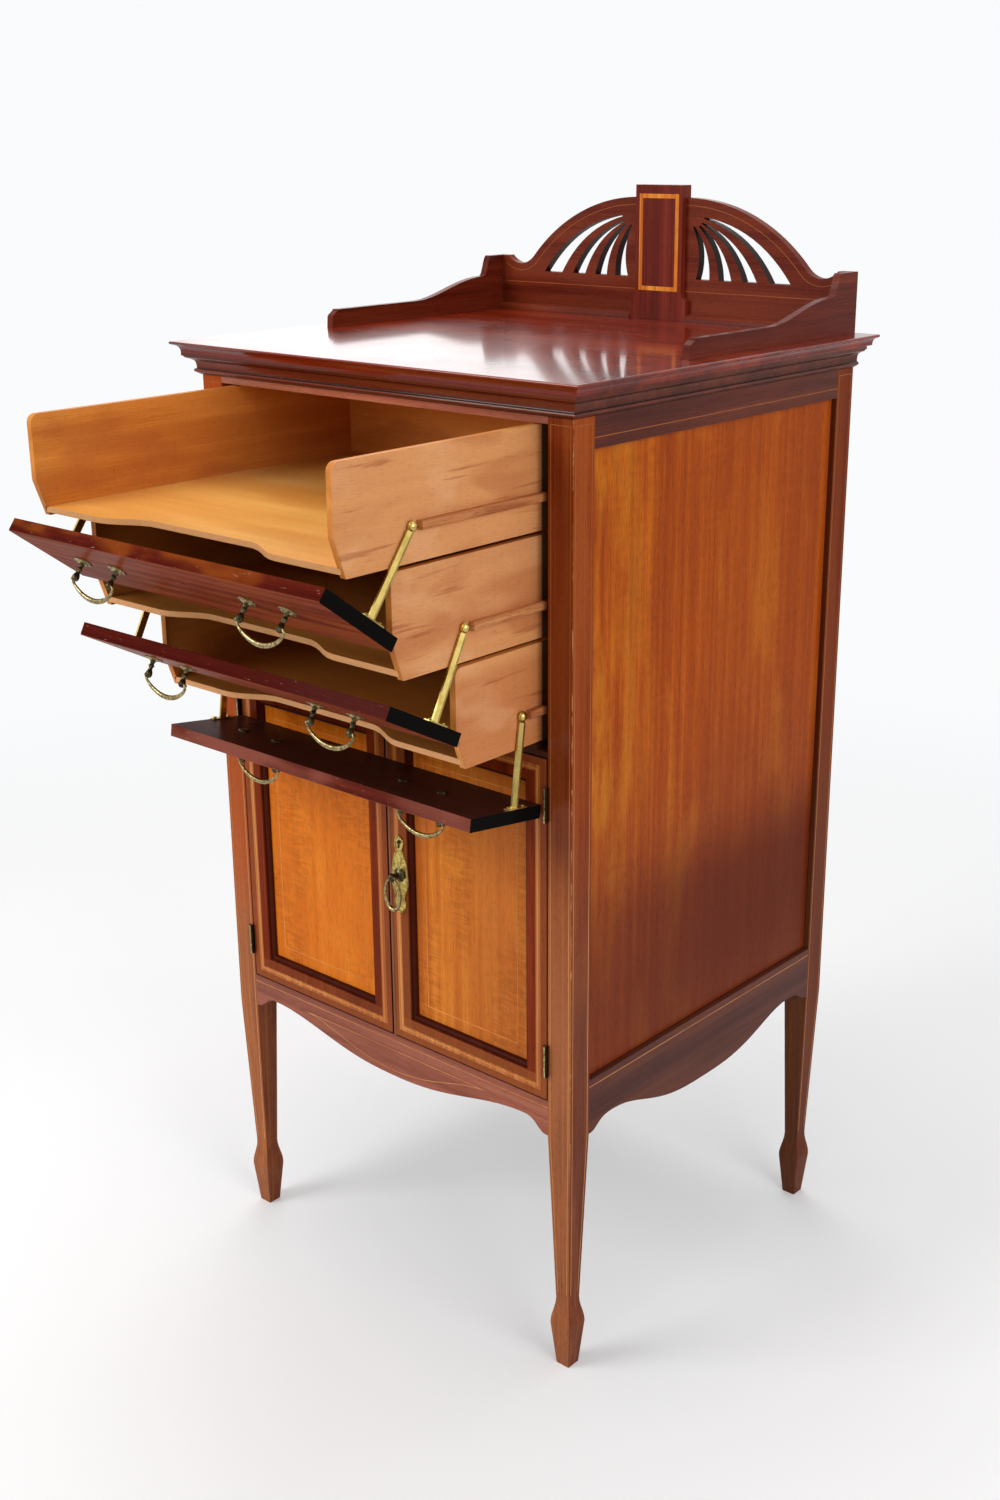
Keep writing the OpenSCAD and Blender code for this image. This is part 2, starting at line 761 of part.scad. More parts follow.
module drawer_runners(i) {
    z = pivot_side_up;
    eye_gap = 2.5;
    start = front_t + arm_len - side_set + eye_r + eye_gap;
    ease = 1.2;
    outline = [
        [drawer_out_x, z - runner_h / 2],
        [drawer_out_x + runner_w - ease, z - runner_h / 2],
        [drawer_out_x + runner_w, z - runner_h / 2 + ease],
        [drawer_out_x + runner_w, z + runner_h / 2 - ease],
        [drawer_out_x + runner_w - ease, z + runner_h / 2],
        [drawer_out_x, z + runner_h / 2]];
    color(drawer_wood) place() at_drawer(i) both_sides() along_y(outline, start, drawer_len);
}

// Falling fronts, drawn upright with the pivot at the origin and then leaned out
module at_front(i) {
    translate([0, pivot_y(i), pivot_z(i)]) rotate([lean(i), 0, 0]) children();
}

module at_handle_posts() {
    for (x = handle_xs) for (s = [-1, 1])
        translate([x + s * handle_gap / 2, -arm_len, handle_up]) children();
}

module front(i) {
    ease = 0.8;
    y0 = -arm_len - front_t;
    outline = [
        [-arm_len, -front_below], [-arm_len, front_above],
        [y0 + ease, front_above], [y0, front_above - ease],
        [y0, ease - front_below], [y0 + ease, -front_below]];
    color(red_mahogany) place() at_front(i) difference() {
        along_x(outline, -front_half_w, front_half_w);
        at_handle_posts() y_rod(shank_r + fit_gap / 2, past, front_t + 2 * past);
    }
}

// Arms: a ribbed strip with an eye at the pivot and a foot on the front's inner face
arm_x = drawer_out_x + side_play - fit_gap;
foot_h = 28;
foot_t = 1.4;
screw_in = 4;
screw_r = 2.6;
screw_top_r = 1.6;
screw_h = 1.1;
pin_in = 0.3;
spacer_wall = 1.8;
dome_r = 3.6;
dome_h = 2.4;
foot_w = 6.4;

module front_arms(i) {
    rib = 3;
    rib_half_w = 1.2;
    outline = [
        [arm_x, -arm_w / 2], [arm_x + arm_t, -arm_w / 2], [arm_x + arm_t + rib, -rib_half_w],
        [arm_x + arm_t + rib, rib_half_w], [arm_x + arm_t, arm_w / 2], [arm_x, arm_w / 2]];
    color(brass) place() at_front(i) both_sides() {
        difference() {
            union() {
                along_y(outline, -arm_len + foot_t, -eye_r);
                x_rod(eye_r, arm_x, arm_x + arm_t);
                box([arm_x, -eye_r - past, -arm_w / 2 + 1], [arm_x + arm_t, 0, arm_w / 2 - 1]);
            }
            x_rod(pin_r, arm_x - past, arm_x + arm_t + past);
        }
        box([arm_x, -arm_len, -foot_h / 2], [arm_x + foot_w, -arm_len + foot_t, foot_h / 2]);
        for (z = [screw_in - foot_h / 2, foot_h / 2 - screw_in])
            translate([arm_x + foot_w / 2, -arm_len + foot_t, z]) rotate([-90, 0, 0])
                cylinder(r1 = screw_r, r2 = screw_top_r, h = screw_h, $fn = 32);
        union() {
            x_rod(pin_r, drawer_in_x + pin_in, arm_x + arm_t);
            x_rod(pin_r + spacer_wall, drawer_out_x + pin_gap, arm_x);
            translate([arm_x + arm_t, 0, 0]) rotate([0, 90, 0])
                rotate_extrude($fn = 48) polygon(concat([[0, 0], [dome_r, 0]], [for (k = [1 : 5])
                    [dome_r * cos(18 * k), dome_h * sin(18 * k)]]));
        }
    }
}

// Handle posts with their backplates outside and round nuts inside
module front_fittings(i) {
    plate_t = 1.6;
    plate_gap = 0.05;
    nut_t = 2.6;
    shank_end = 0.6;
    color(brass) place() at_front(i) at_handle_posts() {
        difference() {
            union() {
                y_rod(shank_r, nut_t + shank_end, front_t + nut_t + shank_end);
                y_rod(post_r, -front_t - plate_t, handle_reach - plate_t);
                translate([0, -front_t - handle_reach, 0]) x_rod(knob_r, -knob_w / 2, knob_w / 2);
            }
            translate([0, -front_t - handle_reach, 0])
                x_rod(bail_pin_r + pin_gap, -knob_w, knob_w);
        }
        difference() {
            y_rod(plate_r, -front_t, plate_t);
            y_rod(shank_r + plate_gap, past - front_t, plate_t + 2 * past);
        }
        difference() {
            y_rod(nut_r, nut_t, nut_t);
            y_rod(shank_r + plate_gap, nut_t + past, nut_t + 2 * past);
        }
    }
}

// Bails hang straight down from the knobs: two small side arcs and one wide arc
bail_side_r = 12;
bail_mid_x = bail_x - bail_side_r;
bail_up = (bail_mid_x * bail_mid_x - pow(bail_drop - bail_side_r, 2)) / (2 * (bail_drop - bail_side_r));
bail_low_r = bail_drop + bail_up;
bail_turn = atan2(bail_up, bail_mid_x);

module bail_arc(r, a0, a1) {
    rotate([90, 0, 0]) rotate([0, 0, a0])
        rotate_extrude(angle = a1 - a0, $fn = 128) translate([r, 0]) circle(bail_r, $fn = 32);
}

module bail(i, x) {
    joint_swell = 0.15;
    joint_r = bail_r + joint_swell;
    knob_n = arm_len + front_t + handle_reach;
    y = pivot_y(i) - knob_n * cos(lean(i)) - handle_up * sin(lean(i));
    z = pivot_z(i) - knob_n * sin(lean(i)) + handle_up * cos(lean(i));
    color(brass) place() translate([x, y, z]) {
        translate([0, 0, bail_up]) bail_arc(bail_low_r, -180 + bail_turn, -bail_turn);
        both_sides() {
            translate([bail_mid_x, 0, 0]) bail_arc(bail_side_r, -bail_turn, 0);
            translate([bail_low_r * cos(bail_turn), 0, bail_up - bail_low_r * sin(bail_turn)])
                sphere(joint_r, $fn = 48);
            translate([bail_x, 0, 0]) sphere(joint_r, $fn = 48);
            x_rod(bail_pin_r, handle_gap / 2 - knob_w / 2 + fit_gap, bail_x);
        }
    }
}

// Doors, drawn for the right side: frame between x0 and x1
module door_frame_bars(x0, x1) {
    z0 = door_z0;
    z1 = door_z1;
    box([x0, 0, z0], [x0 + stile_w, frame_t, z1]);
    box([x1 - stile_w, 0, z0], [x1, frame_t, z1]);
    box([x0 + stile_w, 0, z0], [x1 - stile_w, frame_t, z0 + stile_w]);
    box([x0 + stile_w, 0, z1 - stile_w], [x1 - stile_w, frame_t, z1]);
}

module ring_of(x0, x1, inset, width, y0, y1) {
    difference() {
        box([x0 + inset, y0, door_z0 + inset], [x1 - inset, y1, door_z1 - inset]);
        box([x0 + inset + width, y0 - past, door_z0 + inset + width],
            [x1 - inset - width, y1 + past, door_z1 - inset - width]);
    }
}

door_groove_d = 4;

module door_frame(x0, x1) {
    difference() {
        door_frame_bars(x0, x1);
        ring_of(x0, x1, band_in, band_w, -past, band_d);
        box([x0 + stile_w - door_groove_d, door_panel_recess, door_z0 + stile_w - door_groove_d],
            [x1 - stile_w + door_groove_d, door_panel_recess + door_panel_t, door_z1 - stile_w + door_groove_d]);
        for (z = hinge_zs)
            box([door_outer_x - leaf_t + door_gap / 2 - leaf_gap, -past, z - hinge_l / 2],
                [door_outer_x + past, leaf_w, z + hinge_l / 2]);
    }
    door_moulding(x0 + stile_w, x1 - stile_w, door_z0 + stile_w, door_z1 - stile_w);
}

// Moulding strips: a stepped quarter round from the frame down to the panel, mitred at the corners
module moulding_strip(length) {
    fillet_w = 1.4;
    fillet_y = 1.5;
    round_y = 2.6;
    foot_step = 1;
    foot_y = door_panel_recess - foot_step;
    outline = concat([[0, door_panel_recess], [0, fillet_y], [fillet_w, fillet_y], [fillet_w, round_y]],
        [for (k = [1 : 5])
            [fillet_w + (moulding_w - fillet_w) * sin(18 * k), foot_y - (foot_y - round_y) * cos(18 * k)]],
        [[moulding_w, door_panel_recess]]);
    intersection() {
        linear_extrude(length) polygon(outline);
        rotate([90, 0, 0]) translate([0, 0, -frame_t]) linear_extrude(frame_t)
            polygon([[0, 0], [length / 2, length / 2], [0, length]]);
    }
}

module door_moulding(x0, x1, z0, z1) {
    translate([x0, 0, z0]) moulding_strip(z1 - z0);
    translate([x1, 0, z0]) mirror([1, 0, 0]) moulding_strip(z1 - z0);
    translate([x1, 0, z0]) rotate([0, -90, 0]) moulding_strip(x1 - x0);
    translate([x1, 0, z1]) mirror([0, 0, 1]) rotate([0, -90, 0]) moulding_strip(x1 - x0);
}

module door_panel(x0, x1) {
    reach = stile_w - door_groove_d + fit_gap;
    box([x0 + reach, door_panel_recess, door_z0 + reach],
        [x1 - reach, door_panel_recess + door_panel_t, door_z1 - reach]);
}

module door_left_frame() {
    color(mahogany) place() mirror([1, 0, 0]) door_frame(-door_left_x, door_outer_x);
}

module door_right_frame() {
    color(mahogany) place() door_frame(door_right_x, door_outer_x);
}

module door_left_panel() {
    color(figured_mahogany) place() door_panel(-door_outer_x, door_left_x);
}

module door_right_panel() {
    color(figured_mahogany) place() door_panel(door_right_x, door_outer_x);
}

module door_left_banding() {
    color(satinwood) place() ring_of(-door_outer_x, door_left_x, band_in, band_w, 0, band_d);
}

module door_right_banding() {
    color(satinwood) place() ring_of(door_right_x, door_outer_x, band_in, band_w, 0, band_d);
}

// Hinges: the case leaf holds the two outer knuckles and the pin, the door leaf the middle one
knuckle_l = hinge_l / 3;

module knuckle(z0, z1, tab_x0, tab_x1) {
    translate([hinge_axis_x, hinge_axis_y, z0]) cylinder(r = knuckle_r, h = z1 - z0, $fn = 48);
    box([tab_x0, hinge_axis_y, z0], [tab_x1, 0, z1]);
}

module hinge_leaf(x0, x1) {
    box([x0, 0, leaf_gap - hinge_l / 2], [x1, leaf_w - leaf_gap, hinge_l / 2 - leaf_gap]);
}

module case_hinge_leaves() {
    x0 = hinge_axis_x + leaf_gap;
    x1 = hinge_axis_x + leaf_t;
    lift = knuckle_l / 2 + knuckle_gap / 2;
    color(brass) place() both_sides() for (z = hinge_zs) translate([0, 0, z]) union() {
        hinge_leaf(x0, x1);
        knuckle(lift, hinge_l / 2 - leaf_gap, x0, x1);
        knuckle(leaf_gap - hinge_l / 2, -lift, x0, x1);
        translate([hinge_axis_x, hinge_axis_y, leaf_gap - hinge_l / 2])
            cylinder(r = hinge_pin_r, h = hinge_l - 2 * leaf_gap, $fn = 48);
    }
}

module door_hinge_leaves() {
    x1 = hinge_axis_x - leaf_gap;
    x0 = hinge_axis_x - leaf_t;
    lift = knuckle_l / 2 - knuckle_gap / 2;
    for (z = hinge_zs) translate([0, 0, z]) difference() {
        union() {
            hinge_leaf(x0, x1);
            knuckle(-lift, lift, x0, x1);
        }
        translate([hinge_axis_x, hinge_axis_y, -hinge_l])
            cylinder(r = hinge_pin_r + pin_gap, h = 2 * hinge_l, $fn = 48);
    }
}

module door_right_hinge_leaves() {
    color(brass) place() door_hinge_leaves();
}

module door_left_hinge_leaves() {
    color(brass) place() mirror([1, 0, 0]) door_hinge_leaves();
}

module meeting_bead() {
    x = door_right_x + bead_w / 2;
    color(dark_mahogany) place() translate([0, 0, door_z0]) linear_extrude(door_z1 - door_z0)
        polygon(concat([[x - bead_w / 2, 0]],
            [for (k = [1 : 7]) [x - bead_w / 2 * cos(22.5 * k), -bead_t * sin(22.5 * k)]],
            [[x + bead_w / 2, 0]]));
}

// Escutcheon with a keyhole, a stud and a hanging ring
plate_x = meeting_x + escutcheon_in;
stud_z = floor_z + stud_up;
stud_out = 13;
ring_rod_r = 1.6;
ring_eye_r = 1.2;
boss_r = 6.8;
keyhole_up = 38.5;
keyhole_r = 2.2;
keyhole_slot_w = 2;
keyhole_slot_h = 7;
plate_half_w = 12.6;
plate_waist = 7.3;
plate_neck = 5;
belly_z0 = -24;
belly_h = 51;
belly_low = 0.7;
plate_foot = [[2, -45.8], [6.5, -41], [8.5, -35], [8, -31], [6.8, -27.5]];
plate_tip = [[2, 7.6], [0.6, 9.4]];

// The plate's outline: reach to each side against the height from the stud
belly_w = plate_half_w - (plate_waist + plate_neck) / 2;
plate_edge = concat(
    plate_foot,
    [for (k = [0 : 8])
        let (u = k / 8, waist = plate_waist + (plate_neck - plate_waist) * u)
        [waist + belly_w * sin(180 * pow(u, belly_low)), belly_z0 + belly_h * u]],
    arc([0, keyhole_up], boss_r, -50, 60, 6),
    [for (p = plate_tip) [p[0], keyhole_up + p[1]]]);

module ring_plate() {
    plate_t = 1.4;
    color(brass) place() translate([plate_x, 0, stud_z]) difference() {
        union() {
            along_y(both_edges(0, plate_edge), -plate_t, 0);
            y_rod(post_r, -plate_t / 2, stud_out - plate_t / 2);
            translate([0, -stud_out, 0]) x_rod(knob_r, -knob_w / 2, knob_w / 2);
        }
        translate([0, -stud_out, 0]) x_rod(ring_eye_r + pin_gap, -knob_w, knob_w);
        translate([0, past, keyhole_up]) y_rod(keyhole_r, 0, plate_t + 2 * past);
        box([-keyhole_slot_w / 2, -plate_t - past, keyhole_up - keyhole_slot_h],
            [keyhole_slot_w / 2, past, keyhole_up]);
    }
}

// The ring: a narrow oval of four arcs, with its pin through the stud
module ring_pull() {
    side_x = ring_w / 2 - ring_rod_r;
    straight = ring_l - 2 * ring_rod_r - side_x;
    color(brass) place() translate([plate_x, -stud_out, stud_z]) {
        x_rod(ring_eye_r, -side_x, side_x);
        both_sides() {
            translate([side_x, 0, 0]) sphere(ring_rod_r, $fn = 48);
            translate([side_x, 0, -straight]) cylinder(r = ring_rod_r, h = straight, $fn = 48);
        }
        translate([0, 0, -straight]) rotate([90, 0, 0]) rotate([0, 0, 180])
            rotate_extrude(angle = 180, $fn = 96) translate([side_x, 0]) circle(ring_rod_r, $fn = 32);
    }
}

post_front_left();
post_front_right();
post_rear_left();
post_rear_right();
side_panels();
side_rails();
side_aprons();
front_rail();
front_apron();
rear_rails();
back_panel();
divider_board();
cupboard_shelves();
guide_rails();
top_board();
cornice();
gallery_back();
gallery_pilaster();
gallery_sides();
gallery_moulding();
pilaster_banding();
case_hinge_leaves();
drawer_sides(1);  // drawer_1_sides
drawer_back(1);  // drawer_1_back
drawer_bottom(1);  // drawer_1_bottom
drawer_runners(1);  // drawer_1_runners
drawer_sides(2);  // drawer_2_sides
drawer_back(2);  // drawer_2_back
drawer_bottom(2);  // drawer_2_bottom
drawer_runners(2);  // drawer_2_runners
drawer_sides(3);  // drawer_3_sides
drawer_back(3);  // drawer_3_back
drawer_bottom(3);  // drawer_3_bottom
drawer_runners(3);  // drawer_3_runners
front(1);  // front_1
front_arms(1);  // front_1_arms
front_fittings(1);  // front_1_fittings
front(2);  // front_2
front_arms(2);  // front_2_arms
front_fittings(2);  // front_2_fittings
front(3);  // front_3
front_arms(3);  // front_3_arms
front_fittings(3);  // front_3_fittings
bail(1, handle_x_left);  // bail_1_left
bail(1, handle_x_right);  // bail_1_right
bail(2, handle_x_left);  // bail_2_left
bail(2, handle_x_right);  // bail_2_right
bail(3, handle_x_left);  // bail_3_left
bail(3, handle_x_right);  // bail_3_right
door_left_frame();
door_left_panel();
door_left_banding();
door_left_hinge_leaves();
door_right_frame();
door_right_panel();
door_right_banding();
door_right_hinge_leaves();
meeting_bead();
ring_plate();
ring_pull();
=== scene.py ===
"""Looks of the music cabinet: materials, inlay lines, turned brasses, light and camera.

Everything is in metres: X to the right, Y to the back, Z up from the floor.
Places are read from the frame's boxes and joints; MM turns a size in millimetres into metres.
"""
import json
import math

import bpy
from mathutils import Matrix, Vector

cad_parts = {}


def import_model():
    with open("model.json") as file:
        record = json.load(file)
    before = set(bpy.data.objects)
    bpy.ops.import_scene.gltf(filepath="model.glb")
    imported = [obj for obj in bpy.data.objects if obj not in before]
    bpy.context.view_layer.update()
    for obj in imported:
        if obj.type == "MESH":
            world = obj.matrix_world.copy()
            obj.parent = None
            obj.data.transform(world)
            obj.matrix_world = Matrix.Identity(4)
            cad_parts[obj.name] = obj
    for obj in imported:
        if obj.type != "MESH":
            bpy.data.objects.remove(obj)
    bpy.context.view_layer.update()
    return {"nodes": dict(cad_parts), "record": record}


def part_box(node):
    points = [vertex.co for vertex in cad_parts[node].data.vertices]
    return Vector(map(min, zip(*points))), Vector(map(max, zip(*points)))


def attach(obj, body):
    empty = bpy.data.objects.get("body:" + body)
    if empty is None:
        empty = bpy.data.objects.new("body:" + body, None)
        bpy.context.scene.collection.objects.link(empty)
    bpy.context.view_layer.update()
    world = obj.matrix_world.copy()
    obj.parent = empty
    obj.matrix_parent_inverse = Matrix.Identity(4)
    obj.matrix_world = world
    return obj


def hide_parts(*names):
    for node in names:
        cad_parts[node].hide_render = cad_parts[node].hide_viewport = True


MM = 0.001
X, Y, Z = Vector((1, 0, 0)), Vector((0, 1, 0)), Vector((0, 0, 1))
# The axes by number, for places in a material and for the way that a grain runs
ACROSS, BACK, UP = 0, 1, 2

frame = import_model()
nodes = frame["nodes"]
joints = {joint["name"]: joint for joint in frame["record"]["behaviour"]["joints"]}


def low(node):
    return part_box(node)[0]


def high(node):
    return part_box(node)[1]


def pivot(joint):
    return Vector(joints[joint]["pos_m"])


# Places that the pieces share
FRONT_Y = low("front_rail").y
REAR_Y = high("post_rear_right").y
HALF_W = high("post_front_right").x
INNER_X = high("front_rail").x
POST = HALF_W - INNER_X
TOP_Z = high("top_board").z
SIDES = (-1, 1)
# How far each edge of a door's panel sits inside its frame: the groove's depth less the play
PANEL_HIDDEN = 4 * MM - 0.2 * MM
# Height at which a leg starts to narrow, and its half width at the neck over the foot
LEG_Z, NECK_Z, NECK_HALF = 290 * MM, 86 * MM, 9 * MM
# The gallery's outline: an arch that runs through a dip to each end
GALLERY_HALF_W, DIP_IN, DIP_R, DIP_H = 260 * MM, 39.5 * MM, 29 * MM, 57 * MM
ARCH_X, ARCH_H = 34 * MM, 140 * MM


def gallery_arch():
    """Where the arch starts beside the pilaster, its height there and its radius."""
    run, rise = GALLERY_HALF_W - DIP_IN - ARCH_X, DIP_H + DIP_R - ARCH_H
    return ARCH_X, ARCH_H, (run * run + rise * rise - DIP_R * DIP_R) / (2 * (DIP_R - rise))


# Materials
# Painted shade in the quirks along the cornice: from, to in millimetres over its foot, and how dark
CORNICE_QUIRK_SHADE = ((0, 2.2, 0.7), (6.2, 7.9, 0.8), (15.6, 17.6, 0.6), (20.2, 21.0, 0.5))
GALLERY_TONES = ((72, 18, 9), (102, 34, 18), (126, 52, 28))


def srgb(red, green, blue):
    """A colour as the eye reads it, 0 to 255, turned into Blender's linear values."""
    return tuple(
        (v / 255 / 12.92) if v <= 10.31 else ((v / 255 + 0.055) / 1.055) ** 2.4
        for v in (red, green, blue)
    ) + (1.0,)


# Painted shadow of the posts on the drawer sides and runners, where they run into the case
POST_SHADOW = (30, 17, 9)
# The colours that darken ripples and fill pores, in linear values
RIPPLE_BROWN = (0.5, 0.38, 0.2, 1.0)
PORE_BLACK = (0.012, 0.004, 0.002, 1.0)
# The least cosine at which a surface counts as facing a way
FACES = 0.7


def per_metre(size_mm):
    """The scale at which a noise's features have that size."""
    return 1000 / size_mm


class Nodes:
    """A node tree, and short words for making its nodes."""

    def __init__(self, tree):
        self.tree = tree

    def feed(self, socket, value):
        if isinstance(value, bpy.types.NodeSocket):
            self.tree.links.new(value, socket)
        else:
            socket.default_value = value

    def node(self, kind, inputs, **settings):
        """A new shader node of a kind, such as Math, with its inputs fed and its settings set."""
        item = self.tree.nodes.new("ShaderNode" + kind)
        for key, value in settings.items():
            setattr(item, key, value)
        for key, value in inputs.items():
            self.feed(item.inputs[key], value)
        return item

    def output(self, kind, inputs, **settings):
        """The first output of a new node."""
        return self.node(kind, inputs, **settings).outputs[0]

    def math(self, operation, a, b=0.0):
        return self.output("Math", {0: a, 1: b}, operation=operation)

    def times(self, *values):
        """The product of masks and amounts."""
        product = values[0]
        for value in values[1:]:
            product = self.math("MULTIPLY", product, value)
        return product

    def flip(self, mask):
        return self.math("SUBTRACT", 1.0, mask)


class Finish(Nodes):
    """A material, and short words for the masks and noises that the woods and metals use."""

    def __init__(self, name):
        self.material = bpy.data.materials.new(name)
        self.material.use_nodes = True
        super().__init__(self.material.node_tree)
        self.shader = self.tree.nodes["Principled BSDF"]
        self.coords = self.node("TexCoord", {})
        self.split = None

    def mix(self, factor, a, b, blend="MIX"):
        item = self.node("Mix", {0: factor}, data_type="RGBA", blend_type=blend)
        self.feed(item.inputs[6], a)
        self.feed(item.inputs[7], b)
        return item.outputs[2]

    def mapped(self, scale, move=(0, 0, 0)):
        inputs = {"Vector": self.coords.outputs["Object"], "Scale": scale, "Location": move}
        return self.output("Mapping", inputs)

    def noise(self, vector, detail, roughness=0.5, distortion=0.0):
        inputs = {
            "Vector": vector, "Scale": 1.0, "Detail": detail,
            "Roughness": roughness, "Distortion": distortion}
        return self.node("TexNoise", inputs).outputs["Fac"]

    def ramp(self, factor, stops):
        item = self.node("ValToRGB", {"Fac": factor})
        marks = item.color_ramp.elements
        while len(marks) < len(stops):
            marks.new(0.5)
        for mark, (place, colour) in zip(marks, stops):
            mark.position = place
            mark.color = colour
        return item.outputs["Color"]

    def fade(self, value, start, end, a=0.0, b=1.0):
        """a before start, b after end, and a smooth change between them."""
        inputs = {"Value": value, "From Min": start, "From Max": end, "To Min": a, "To Max": b}
        return self.output("MapRange", inputs, interpolation_type="SMOOTHSTEP")

    def place(self, axis):
        if self.split is None:
            self.split = self.node("SeparateXYZ", {0: self.coords.outputs["Object"]})
        return self.split.outputs[axis]

    def along(self, axis, start, end, a=0.0, b=1.0):
        """A fade from one place to another along an axis."""
        return self.fade(self.place(axis), start, end, a, b)

    def distance(self, axis):
        """Distance from the object's middle along an axis, to either side."""
        return self.math("ABSOLUTE", self.place(axis))

    def above(self, axis, limit):
        return self.math("GREATER_THAN", self.place(axis), limit)

    def below(self, axis, limit):
        return self.math("LESS_THAN", self.place(axis), limit)

    def between(self, axis, start, end):
        return self.times(self.above(axis, start), self.below(axis, end))

    def outside(self, across, left, right, up, bottom, top):
        """1 outside a rectangle in the plane of two axes, 0 inside it."""
        return self.flip(self.times(self.between(across, left, right), self.between(up, bottom, top)))

    def outside_box(self, node, inset=0.0):
        """1 outside a node's box as the front shows it, drawn in by inset, 0 inside it."""
        (left, _, bottom), (right, _, top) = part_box(node)
        return self.outside(ACROSS, left + inset, right - inset, UP, bottom + inset, top - inset)

    def facing(self, direction):
        """1 where the surface faces that way, 0 elsewhere."""
        inputs = {0: self.coords.outputs["Normal"], 1: direction}
        item = self.node("VectorMath", inputs, operation="DOT_PRODUCT")
        return self.math("GREATER_THAN", item.outputs["Value"], FACES)

    def facing_out(self, axis, least=FACES):
        """1 where the surface faces either way along an axis, 0 elsewhere."""
        normal = self.node("SeparateXYZ", {0: self.coords.outputs["Normal"]}).outputs[axis]
        return self.math("GREATER_THAN", self.math("ABSOLUTE", normal), least)

    def bump(self, height, strength, distance, edge):
        """Small relief, and edges rounded by a radius."""
        rounded = self.output("Bevel", {"Radius": edge}, samples=4)
        inputs = {"Height": height, "Strength": strength, "Distance": distance, "Normal": rounded}
        self.feed(self.shader.inputs["Normal"], self.output("Bump", inputs))

    def set(self, **values):
        for key, value in values.items():
            self.feed(self.shader.inputs[key.replace("_", " ")], value)


class Wood(Finish):
    """Polished or bare wood: broad streaks, ribbon stripes, fibres and pores along one axis."""

    def __init__(self, name, colours, grain, seed, streak=0.5, ribbon=0.3, fibre=0.2, stripe_mm=14):
        super().__init__(name)
        self.grain = grain
        self.seed = seed
        parts = (
            (streak, self.layer(across_mm=70, along_mm=900, detail=3.0)),
            (ribbon, self.layer(across_mm=stripe_mm, along_mm=700, detail=2.0)),
            (fibre, self.layer(across_mm=1.2, along_mm=70, detail=2.0)),
        )
        total = sum(weight for weight, _ in parts)
        factor = 0.0
        for weight, value in parts:
            factor = self.math("ADD", factor, self.times(value, weight / total))
        dark, middle, light = [srgb(*colour) for colour in colours]
        self.colour = self.ramp(factor, ((0.4, dark), (0.5, middle), (0.6, light)))

    def layer(self, across_mm, along_mm, detail):
        """Noise with streaks of those sizes along the grain, each layer in a place of its own."""
        scale = [per_metre(across_mm)] * 3
        scale[self.grain] = per_metre(along_mm)
        self.seed += 3.7
        move = (self.seed, self.seed * 1.3, self.seed * 0.7)
        return self.noise(self.mapped(scale, move), detail, roughness=0.55, distortion=0.2)

    def patches(self, colour, size_mm, amount, stretch, start=0.5, end=0.68):
        """Soft cloudy areas of another colour, longer along the grain by stretch."""
        cloud = self.layer(across_mm=size_mm, along_mm=size_mm * stretch, detail=2.0)
        self.tint(colour, self.fade(cloud, start, end, 0.0, amount))

    def ripples(self, amount, size_mm):
        """Figure across the grain: short light and dark bars that catch the light."""
        scale = [per_metre(size_mm * 5)] * 3
        scale[self.grain] = per_metre(size_mm)
        move = (self.seed, 1.0, 2.0)
        bars = self.noise(self.mapped(scale, move), detail=1.0, roughness=0.4, distortion=0.8)
        cloud = self.fade(self.layer(across_mm=60, along_mm=200, detail=1.0), 0.44, 0.6, 0.0, amount)
        shown = self.times(self.fade(bars, 0.38, 0.62), cloud)
        self.colour = self.mix(shown, self.colour, RIPPLE_BROWN, "MULTIPLY")

    def tint(self, colour, *masks):
        """Another colour, as strong as the product of masks and amounts."""
        self.colour = self.mix(self.times(*masks), self.colour, srgb(*colour))

    def polish(self, rough, coat, coat_rough, shine=0.12, pores=0.3, edge_mm=0.7, waves=0.0):
        """Pores, bump and gloss, with waves as an old hand-rubbed surface has. It comes last."""
        pore = self.fade(self.layer(across_mm=0.5, along_mm=9, detail=0.0), 0.6, 0.72, 0.0, pores)
        self.colour = self.mix(pore, self.colour, PORE_BLACK)
        fibres = self.layer(across_mm=1.6, along_mm=60, detail=2.0)
        smear = self.noise(self.mapped((6, 6, 6), move=(self.seed, 0, 0)), detail=3.0, roughness=0.6)
        uneven = self.fade(smear, 0.3, 0.7, rough * 0.8, rough * 1.25)
        self.set(Base_Color=self.colour, Roughness=uneven)
        self.set(Coat_Weight=coat, Coat_Roughness=coat_rough, Coat_IOR=1.5, Specular_IOR_Level=shine)
        height = self.math("SUBTRACT", fibres, pore)
        if waves:
            slow = self.layer(across_mm=45, along_mm=110, detail=2.0)
            height = self.math("ADD", height, self.times(slow, waves))
        self.bump(height, strength=0.35, distance=0.05 * MM, edge=edge_mm * MM)
        return self.material


def mahogany(name, colours, grain, seed, rough=0.34, coat=0.14, coat_rough=0.12, **more):
    """The dark clouded wood that most of the case is made of, and the gloss it usually has."""
    wood = Wood(name, colours, grain, seed, **more)
    wood.patches((70, 22, 12), size_mm=120, amount=0.3, stretch=3.0)
    return wood, dict(rough=rough, coat=coat, coat_rough=coat_rough)


